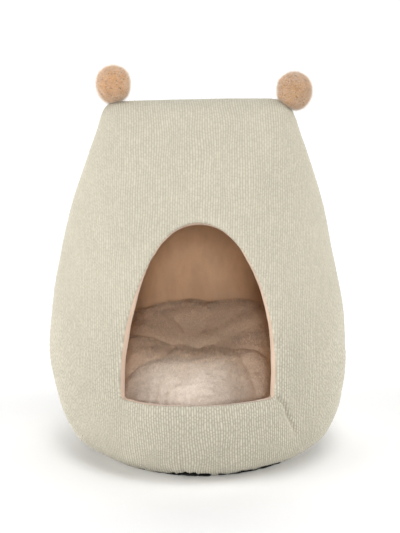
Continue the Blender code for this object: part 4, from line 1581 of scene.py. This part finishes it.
def cushion_form(shrink):
    """Rings of the cushion's stuffed form, drawn in by shrink. The top falls from the ring of
    lobes to the sewn-down middle by a power of a sine, the side is a quarter ellipse out to the
    girth, fuller at the front, and another one back in to the foot."""
    turn = np.linspace(0.0, 2 * pi, CUSHION_STEPS, endpoint=False)
    floor = profile(JAMB)[0][0] + GAP + shrink
    crest_radius = round_table(turn, 1)
    crest = round_table(turn, 2) - shrink
    fall = round_table(turn, 3)
    tuft = CUSHION_TUFT - shrink
    girth = round_table(turn, 4) - shrink
    foot = CUSHION_FLOOR_RADIUS - shrink
    rings = []
    for share in np.linspace(0.06, 1.0, 16):
        rise = np.sin(share * pi / 2) ** fall
        rings.append((share * crest_radius, tuft + (crest - tuft) * rise))
    bend = 1 + 0.25 * bell(np.degrees(turn - 1.5 * pi), 38)
    for angle in np.linspace(0.0, pi / 2, 12)[1:]:
        reach = crest_radius + (girth - crest_radius) * np.sin(angle) ** bend
        fallen = (crest - CUSHION_GIRTH_HEIGHT) * np.cos(angle) ** bend
        rings.append((reach, CUSHION_GIRTH_HEIGHT + fallen))
    for angle in np.linspace(0.0, pi / 2, 9)[1:]:
        reach = foot + (np.maximum(girth, foot) - foot) * np.cos(angle)
        left = (CUSHION_GIRTH_HEIGHT - floor) * (1 - np.sin(angle))
        rings.append((reach, floor + left + 0 * turn))
    for share in (0.75, 0.5, 0.25):
        rings.append((foot * share + 0 * turn, floor + 0 * turn))
    grid = [np.stack([r * np.cos(turn), r * np.sin(turn), z], axis=-1) for r, z in rings[::-1]]
    grid = np.array(grid)
    points = grid.reshape(-1, 3)
    return sink(points, fold_depths(points, narrow=False)).reshape(grid.shape)


def mesh_vectors(mesh, key):
    """One vector for each point of a mesh, as an array: its place ("co") or its "normal"."""
    vectors = np.empty(len(mesh.vertices) * 3, np.float32)
    mesh.vertices.foreach_get(key, vectors)
    return vectors.reshape(-1, 3)


def mesh_points(mesh):
    """The places of a mesh's points, as an array."""
    return mesh_vectors(mesh, "co").astype(float)


def put_points(mesh, points):
    """Moves a mesh's points to an array of places."""
    mesh.vertices.foreach_set("co", np.asarray(points, np.float32).ravel())
    mesh.update()


def bake_modifiers(piece):
    """Swaps a piece's mesh for what its modifiers make of it, and takes them off."""
    depsgraph = bpy.context.evaluated_depsgraph_get()
    made = bpy.data.meshes.new_from_object(piece.evaluated_get(depsgraph))
    piece.modifiers.clear()
    old = piece.data
    piece.data = made
    made.name = piece.name
    bpy.data.meshes.remove(old)


def stuff(piece):
    """Fills a closed form like a cushion: an even mesh of it swells as cloth under pressure with
    no gravity, and no point moves further than STUFF_CAP."""
    remesh = piece.modifiers.new("even", "REMESH")
    remesh.mode = "VOXEL"
    remesh.voxel_size = STUFF_VOXEL
    bake_modifiers(piece)
    before = mesh_points(piece.data)
    cloth = piece.modifiers.new("filling", "CLOTH")
    cloth.settings.use_pressure = True
    cloth.settings.uniform_pressure_force = STUFF_PRESSURE
    cloth.settings.effector_weights.gravity = 0.0
    cloth.settings.quality = 5
    cloth.point_cache.frame_start = 1
    cloth.point_cache.frame_end = STUFF_FRAMES
    scene = bpy.context.scene
    for number in range(1, STUFF_FRAMES + 1):
        scene.frame_set(number)
    bake_modifiers(piece)
    scene.frame_set(1)
    moved = mesh_points(piece.data) - before
    way = np.linalg.norm(moved, axis=1, keepdims=True)
    put_points(piece.data, before + moved * np.minimum(1.0, STUFF_CAP / np.maximum(way, 1e-9)))


def subdivide(piece):
    """Makes a mesh twice as fine and rounds it, once."""
    subsurf = piece.modifiers.new("smooth", "SUBSURF")
    subsurf.levels = 1
    subsurf.render_levels = 1
    bake_modifiers(piece)


def keep_in_bag(points):
    """Draws points in to stay BAG_CLEARANCE inside the lining: no further from its axis than the
    ellipse of its half width and half depth at their height, and above its floor."""
    levels, widths, depths, shifts = profile(JAMB)
    x = points[:, 0] - np.interp(points[:, 2], levels, shifts)
    wide = np.interp(points[:, 2], levels, widths) - BAG_CLEARANCE
    deep = np.interp(points[:, 2], levels, depths) - BAG_CLEARANCE
    over = np.maximum(np.hypot(x / wide, points[:, 1] / deep), 1.0)
    points[:, 0] += x / over - x
    points[:, 1] /= over
    points[:, 2] = np.maximum(points[:, 2], levels[0] + GAP)
    return points


def cushion_details(points):
    """Draws the sewn folds sharper and the tuft deeper over the stuffed form, and wrinkles it:
    a soft ripple, and small upright pleats low on the front, deepest to the left."""
    x, y, z = points.T
    turn = np.arctan2(y, x)
    front = smooth_step((-y - 0.07) / 0.05) * bell(z - 0.110, 0.014)
    left = 0.15 + 0.85 * bell(x + 0.036, 0.026)
    pleats = PLEAT_DEPTH * np.sin(60 * turn + 2.0 * np.sin(7 * turn)) * front * left
    tuft = TUFT_DEPTH * bell(np.hypot(x, y), TUFT_WIDTH)
    soft = WRINKLE_DEPTH * ripple(points, 0.045, seed=21) * smooth_step((0.10 - y) / 0.05)
    return sink(points, fold_depths(points, narrow=True) + tuft + pleats + soft)


def spikes(roots, directions, lengths, widths, seed):
    """Closed three-sided fibres: each stands on a triangle about its root, widths out from it,
    and ends in one point. Returns points and triangles."""
    rng = np.random.default_rng(seed)
    count = len(roots)
    helper = unit(rng.normal(size=(count, 3)))
    side = unit(np.cross(directions, helper))
    other = np.cross(directions, side)
    angles = np.arange(3) * 2 * pi / 3
    ring = side[:, None] * np.cos(angles)[:, None] + other[:, None] * np.sin(angles)[:, None]
    base = roots[:, None] + ring * widths[:, None, None]
    tip = roots + directions * lengths[:, None]
    points = np.concatenate([base, tip[:, None]], axis=1).reshape(-1, 3)
    first = np.arange(count)[:, None, None] * 4
    faces = np.array([[0, 1, 3], [1, 2, 3], [2, 0, 3], [0, 2, 1]])
    return points, (first + faces).reshape(-1, 3)


def scatter(mesh, count, seed, chosen=None):
    """Points and normals of random spots on a mesh. A triangle's share of them goes by its area,
    and by what chosen gives for its middle."""
    rng = np.random.default_rng(seed)
    mesh.calc_loop_triangles()
    triangles = np.empty(len(mesh.loop_triangles) * 3, np.int32)
    mesh.loop_triangles.foreach_get("vertices", triangles)
    triangles = triangles.reshape(-1, 3)
    normals = mesh_vectors(mesh, "normal")
    corners = mesh_points(mesh)[triangles]
    first, second, third = np.moveaxis(corners, 1, 0)
    areas = np.linalg.norm(np.cross(second - first, third - first), axis=1) / 2
    if chosen is not None:
        areas = areas * chosen(corners.mean(axis=1))
    picked = np.searchsorted(np.cumsum(areas) / areas.sum(), rng.random(count))
    a, b = rng.random((2, count, 1))
    over = a + b > 1
    a, b = np.where(over, 1 - a, a), np.where(over, 1 - b, b)
    weights = np.concatenate([1 - a - b, a, b], axis=1)[:, :, None]
    spots = (corners[picked] * weights).sum(axis=1)
    facing = unit((normals[triangles[picked]] * weights).sum(axis=1))
    return spots, facing


def set_up(directions, normals):
    """Sets up the fibres that lie too flat: a direction gets so much of its ground's normal as
    its share of that normal lacks to LEAST_RISE."""
    rise = np.sum(directions * normals, axis=1)
    return unit(directions + normals * np.maximum(LEAST_RISE - rise, 0.0)[:, None])


def plush_pile(cushion, settings):
    """Plush fibres on the cushion's upper side. Each leans the way the pile was brushed there,
    a smooth field of directions, droops a little, and is shorter down in the folds. Its tone
    runs in streaks, a ripple drawn out along the way it was combed."""

    def upper(middles):
        """The share of fibres by height: 0.02 up to PILE_HEIGHT, and 1.02 from 2 cm above it."""
        return smooth_step((middles[:, 2] - PILE_HEIGHT) / 0.02) + 0.02

    def swirl(seed):
        """One direction of the brushing: ripples of falling size, by their shares."""
        return sum(share * ripple(roots, size, seed + step) for size, share, step in PILE_BRUSH)

    roots, normals = scatter(cushion.data, PILE_COUNT, 3, upper)
    rng = np.random.default_rng(4)
    brush = np.stack([swirl(seed) for seed in (41, 42, 43)], axis=-1)
    stray = 0.20 * rng.normal(size=roots.shape)
    directions = set_up(unit(normals + 0.50 * brush + stray + PILE_DROOP), normals)
    in_fold = np.clip(fold_depths(roots, narrow=True) / 0.0035, 0.0, 1.0)
    lengths = settings.pile_length * rng.uniform(0.6, 1.1, PILE_COUNT) * (1 - 0.65 * in_fold)
    widths = rng.uniform(*PILE_WIDTHS, PILE_COUNT)
    points, faces = spikes(roots - normals * PILE_ROOT, directions, lengths, widths, 8)
    x, y, z = roots.T
    combed = np.stack([0.94 * x + 0.34 * z, 0.3 * y, 0.3 * (0.94 * z - 0.34 * x)], axis=-1)
    clumps = 0.5 + 0.20 * ripple(roots, 0.006, 77) + 0.45 * ripple(combed, 0.0022, 78)
    clumps += 0.10 * rng.normal(size=PILE_COUNT)
    tone = np.repeat(np.clip(clumps, 0.0, 1.0), 4)
    tip = np.tile([0.0, 0.0, 0.0, 1.0], PILE_COUNT)
    return new_piece("cushion_pile", points, faces, "plush", tone=tone, tip=tip)


def plush_finish(name, settings, fibres):
    """Brushed plush: pale tips over darker roots, and soft patches where the pile lies over. Towards
    the back its colour is painted warmer and at the front a little cooler, a painted warm light
    bounced off the lining; deep inside, towards both sides, it is painted darker and redder, a
    painted shade."""
    f = Finish(name)
    at = f.place()
    across, deep, _ = f.split(at)
    # Painted light: the share, from front to back, by which a warm light bounced off the lining is
    # painted in.
    inside = f.spread(deep, -0.135, -0.06)
    side_shade = f.math("MULTIPLY", inside, f.spread(f.math("ABSOLUTE", across), 0.045, 0.09))
    patches = f.noise(at, 30.0, detail=4.0, roughness=0.6)
    if fibres:
        root = shade(settings.colour, (0.86, 0.82, 0.78))
        pile = f.mix(f.attribute("tip", "Fac"), root, shade(settings.colour, 1.08))
        pile = f.tint(pile, f.spread(f.attribute("tone", "Fac"), 0.0, 1.0, 0.80, 1.13))
        normal = None
    else:
        strands = f.noise(f.scaled(at, (1.0, 1.0, 0.5)), 420.0, detail=4.0, roughness=0.7)
        root = shade(settings.colour, (0.80, 0.76, 0.72))
        pile = f.mix(f.spread(strands, 0.3, 0.7), root, shade(settings.colour, 1.02))
        normal = f.bump(strands, 0.002, 0.7)
    pile = f.tint(pile, f.spread(patches, 0.3, 0.7, 0.95, 1.04))
    # Painted light, warmer at the back and cooler at the front; painted shade, darker and redder,
    # towards both sides.
    pile = f.tint(pile, f.mix(inside, (0.93, 0.96, 1.0), (1.10, 1.04, 0.96)))
    pile = f.tint(pile, f.mix(side_shade, WHITE, (0.86, 0.80, 0.76)))
    return f.finish(
        pile, 0.9, normal, Sheen_Weight=0.2, Sheen_Roughness=0.5, Specular_IOR_Level=0.15
    )


class CATDOME_OT_cushion(bpy.types.Operator):
    """Makes the stuffed plush cushion and its pile"""

    bl_idname = "catdome.cushion"
    bl_label = "Cushion"

    def execute(self, context):
        settings = context.scene.catdome_cushion
        points, faces = turned(cushion_form(STUFF_SHRINK))
        cushion = new_piece("cushion_body", points, faces, "plush")
        stuff(cushion)
        subdivide(cushion)
        shaped = cushion_details(mesh_points(cushion.data))
        put_points(cushion.data, keep_in_bag(shaped))
        cushion.data.shade_smooth()
        pile = plush_pile(cushion, settings)
        wear(cushion, plush_finish("plush_ground", settings, fibres=False))
        wear(pile, plush_finish("plush_fibres", settings, fibres=True))
        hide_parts("cushion")
        return {"FINISHED"}


# ---------------------------------------------------------------- the pompom ears


def felt_ball(name, node, seed, droop):
    """A felted ball round the middle of its node: a sphere of rows and columns, pushed in and
    out by two ripples, and as flat as its node. Its underside hangs lower by droop times
    the square of the way down."""
    low, high = (np.array(corner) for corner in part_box(node))
    middle, half = (low + high) / 2, (high - low) / 2
    rise = np.linspace(-pi / 2, pi / 2, BALL_ROWS + 2)[1:-1, None]
    turn = np.linspace(0.0, 2 * pi, BALL_COLUMNS, endpoint=False)[None, :]
    x, y = np.cos(rise) * np.cos(turn), np.cos(rise) * np.sin(turn)
    grid = np.stack([x, y, np.sin(rise) + 0 * turn], axis=-1)
    uneven = 1 + 0.018 * ripple(grid, 0.9, seed) + 0.012 * ripple(grid, 0.30, seed + 1)
    under = np.clip(-grid[..., 2], 0.0, 1.0) ** 2
    grid = middle + grid * (half - BALL_INSET) * uneven[..., None]
    grid[..., 2] -= droop * under
    points, faces = turned(grid)
    return new_piece(name, points, faces, "felt")


def ear_fuzz(ball, name, settings, seed):
    """Loose fibres all over a felted ball, leaning about its surface at random. Half of them are
    long pale hairs that stand off it."""
    roots, normals = scatter(ball.data, FUZZ_COUNT, seed)
    rng = np.random.default_rng(seed + 50)
    directions = set_up(unit(normals + 0.55 * rng.normal(size=roots.shape)), normals)
    hair = rng.random(FUZZ_COUNT) < 0.50
    lengths = settings.fuzz_length * rng.uniform(0.5, 1.1, FUZZ_COUNT)
    lengths *= np.where(hair, HAIR_LENGTH, WOOL_LENGTH)
    widths = rng.uniform(*FUZZ_WIDTHS, FUZZ_COUNT) * np.where(hair, HAIR_WIDTH, 1.0)
    points, faces = spikes(roots - normals * FUZZ_ROOT, directions, lengths, widths, seed + 60)
    tone = np.repeat(rng.uniform(0.0, 1.0, FUZZ_COUNT), 4)
    pale = (hair[:, None] * [0.20, 0.20, 0.20, 1.0]).ravel()
    return new_piece(name, points, faces, "felt", tone=tone, pale=pale)


def felt_finish(name, settings, fibres):
    """Tan felted wool with dark flecks: flecks are the high spots of a noise, and the wool
    around them is hazy. The left ear is painted a little lighter and the right ear darker, painted
    light and shade for the light that falls from the left."""
    f = Finish(name)
    at = f.place()
    haze = f.noise(at, 120.0, detail=4.0, roughness=0.65)
    flecks = f.spread(f.noise(at, 310.0, detail=1.0), 0.595, 0.66)
    dark = shade(settings.colour, (0.84, 0.76, 0.68))
    pale = tuple(np.minimum(shade(settings.colour, (1.12, 1.20, 1.28)), 1.0))
    wool = f.mix(f.spread(haze, 0.3, 0.7), dark, pale)
    wool = f.mix(f.math("MULTIPLY", flecks, 0.85), wool, tuple(settings.fleck_colour))
    # Painted light and shade: the left ear a little lighter and the right ear darker, for light from
    # the left.
    wool = f.tint(wool, f.spread(f.split(at)[0], -0.05, 0.05, 1.02, 0.86))
    if fibres:
        wool = f.tint(wool, f.spread(f.attribute("tone", "Fac"), 0.0, 1.0, 0.92, 1.18))
        wool = f.mix(f.attribute("pale", "Fac"), wool, HAIR_COLOUR)
        normal = None
    else:
        normal = f.bump(haze, 0.0010, 0.7)
    return f.finish(
        wool, 0.95, normal, Sheen_Weight=0.6, Sheen_Roughness=0.4, Specular_IOR_Level=0.1
    )


class CATDOME_OT_ears(bpy.types.Operator):
    """Makes the two felted pompom ears"""

    bl_idname = "catdome.ears"
    bl_label = "Ears"

    def execute(self, context):
        settings = context.scene.catdome_ears
        ground = felt_finish("felt_ball", settings, fibres=False)
        loose = felt_finish("felt_fibres", settings, fibres=True)
        for side, seed, droop in EARS:
            ball = felt_ball("ear_" + side, "pompom_" + side, seed, droop)
            wear(ball, ground)
            wear(ear_fuzz(ball, "ear_fuzz_" + side, settings, seed), loose)
            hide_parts("pompom_" + side)
        return {"FINISHED"}


# ---------------------------------------------------------------- the stage


def lay_floor(scene, settings):
    """A pale floor in the plane that the dome stands on."""
    ends = ((-1, -1), (1, -1), (1, 1), (-1, 1))
    corners = [(x * FLOOR_HALF, y * FLOOR_HALF, 0.0) for x, y in ends]
    mesh = bpy.data.meshes.new("floor")
    mesh.from_pydata(corners, [], [(0, 1, 2, 3)])
    floor = bpy.data.objects.new("floor", mesh)
    scene.collection.objects.link(floor)
    f = Finish("pale_floor")
    pale = settings.floor_colour
    speck = f.noise(f.place(), 3.0)
    wear(floor, f.finish(f.mix(speck, tuple(pale), shade(pale, 0.99)), 0.9))


def light_room(scene, settings):
    """Even light from all sides."""
    world = bpy.data.worlds.new("soft_room")
    world.use_nodes = True
    sky = world.node_tree.nodes["Background"]
    sky.inputs["Color"].default_value = (*WHITE, 1.0)
    sky.inputs["Strength"].default_value = settings.room_light
    scene.world = world


def hang_lamp(scene, name, azimuth, elevation, spread, strength):
    """A lamp far off that shines on the dome from one side, soft by its spread."""
    turn, rise = radians(azimuth), radians(elevation)
    towards = Vector((sin(turn) * cos(rise), -cos(turn) * cos(rise), sin(rise)))
    lamp = bpy.data.lights.new(name, "SUN")
    lamp.energy = strength
    lamp.angle = radians(spread)
    made = bpy.data.objects.new(name, lamp)
    made.rotation_euler = towards.to_track_quat("Z", "Y").to_euler()
    scene.collection.objects.link(made)


def set_camera(scene, settings):
    """The camera in front of the dome, turned to CAMERA_AIM."""
    data = bpy.data.cameras.new("camera")
    data.lens = settings.focal_length
    data.sensor_width = SENSOR_WIDTH
    camera = bpy.data.objects.new("camera", data)
    scene.collection.objects.link(camera)
    camera.location = (0.0, -settings.camera_distance, settings.camera_height)
    way = Vector(CAMERA_AIM) - camera.location
    camera.rotation_euler = way.to_track_quat("-Z", "Y").to_euler()
    scene.camera = camera


class CATDOME_OT_stage(bpy.types.Operator):
    """Makes the floor, the light and the camera"""

    bl_idname = "catdome.stage"
    bl_label = "Stage"

    def execute(self, context):
        scene = context.scene
        settings = scene.catdome_stage
        lay_floor(scene, settings)
        light_room(scene, settings)
        for lamp in LAMPS:
            hang_lamp(scene, *lamp)
        set_camera(scene, settings)
        scene.view_settings.view_transform = "Standard"
        return {"FINISHED"}


class CATDOME_PT_panel(bpy.types.Panel):
    """Lists the steps that make the cat dome, with their settings"""

    bl_idname = "CATDOME_PT_panel"
    bl_label = "Cat dome"
    bl_space_type = "VIEW_3D"
    bl_region_type = "UI"
    bl_category = "Cat dome"

    def draw(self, context):
        """Draws each group's settings over the buttons of its steps."""
        for group, operators in STEPS:
            box = self.layout.box()
            settings = getattr(context.scene, group)
            for name in settings.bl_rna.properties.keys():
                if name not in ("rna_type", "name"):
                    box.prop(settings, name)
            for operator in operators:
                box.operator(operator.bl_idname)


STEPS = (
    ("catdome_cover", (CATDOME_OT_cover,)),
    ("catdome_lining", (CATDOME_OT_lining, CATDOME_OT_facing)),
    ("catdome_base", (CATDOME_OT_base,)),
    ("catdome_cushion", (CATDOME_OT_cushion,)),
    ("catdome_ears", (CATDOME_OT_ears,)),
    ("catdome_stage", (CATDOME_OT_stage,)),
)
GROUPS = {
    "catdome_cover": CoverSettings,
    "catdome_lining": LiningSettings,
    "catdome_base": BaseSettings,
    "catdome_cushion": CushionSettings,
    "catdome_ears": EarSettings,
    "catdome_stage": StageSettings,
}


def register():
    """Makes the settings, the steps and the panel known to Blender."""
    for name, group in GROUPS.items():
        bpy.utils.register_class(group)
        setattr(bpy.types.Scene, name, bpy.props.PointerProperty(type=group))
    for _, operators in STEPS:
        for operator in operators:
            bpy.utils.register_class(operator)
    bpy.utils.register_class(CATDOME_PT_panel)


def unregister():
    """Takes them away again, in the opposite order."""
    bpy.utils.unregister_class(CATDOME_PT_panel)
    for _, operators in reversed(STEPS):
        for operator in reversed(operators):
            bpy.utils.unregister_class(operator)
    for name, group in GROUPS.items():
        delattr(bpy.types.Scene, name)
        bpy.utils.unregister_class(group)


def main():
    """Makes every piece and the stage in order."""
    register()
    bpy.ops.catdome.cover()
    bpy.ops.catdome.lining()
    bpy.ops.catdome.facing()
    bpy.ops.catdome.base()
    bpy.ops.catdome.cushion()
    bpy.ops.catdome.ears()
    bpy.ops.catdome.stage()


if __name__ == "__main__":
    main()
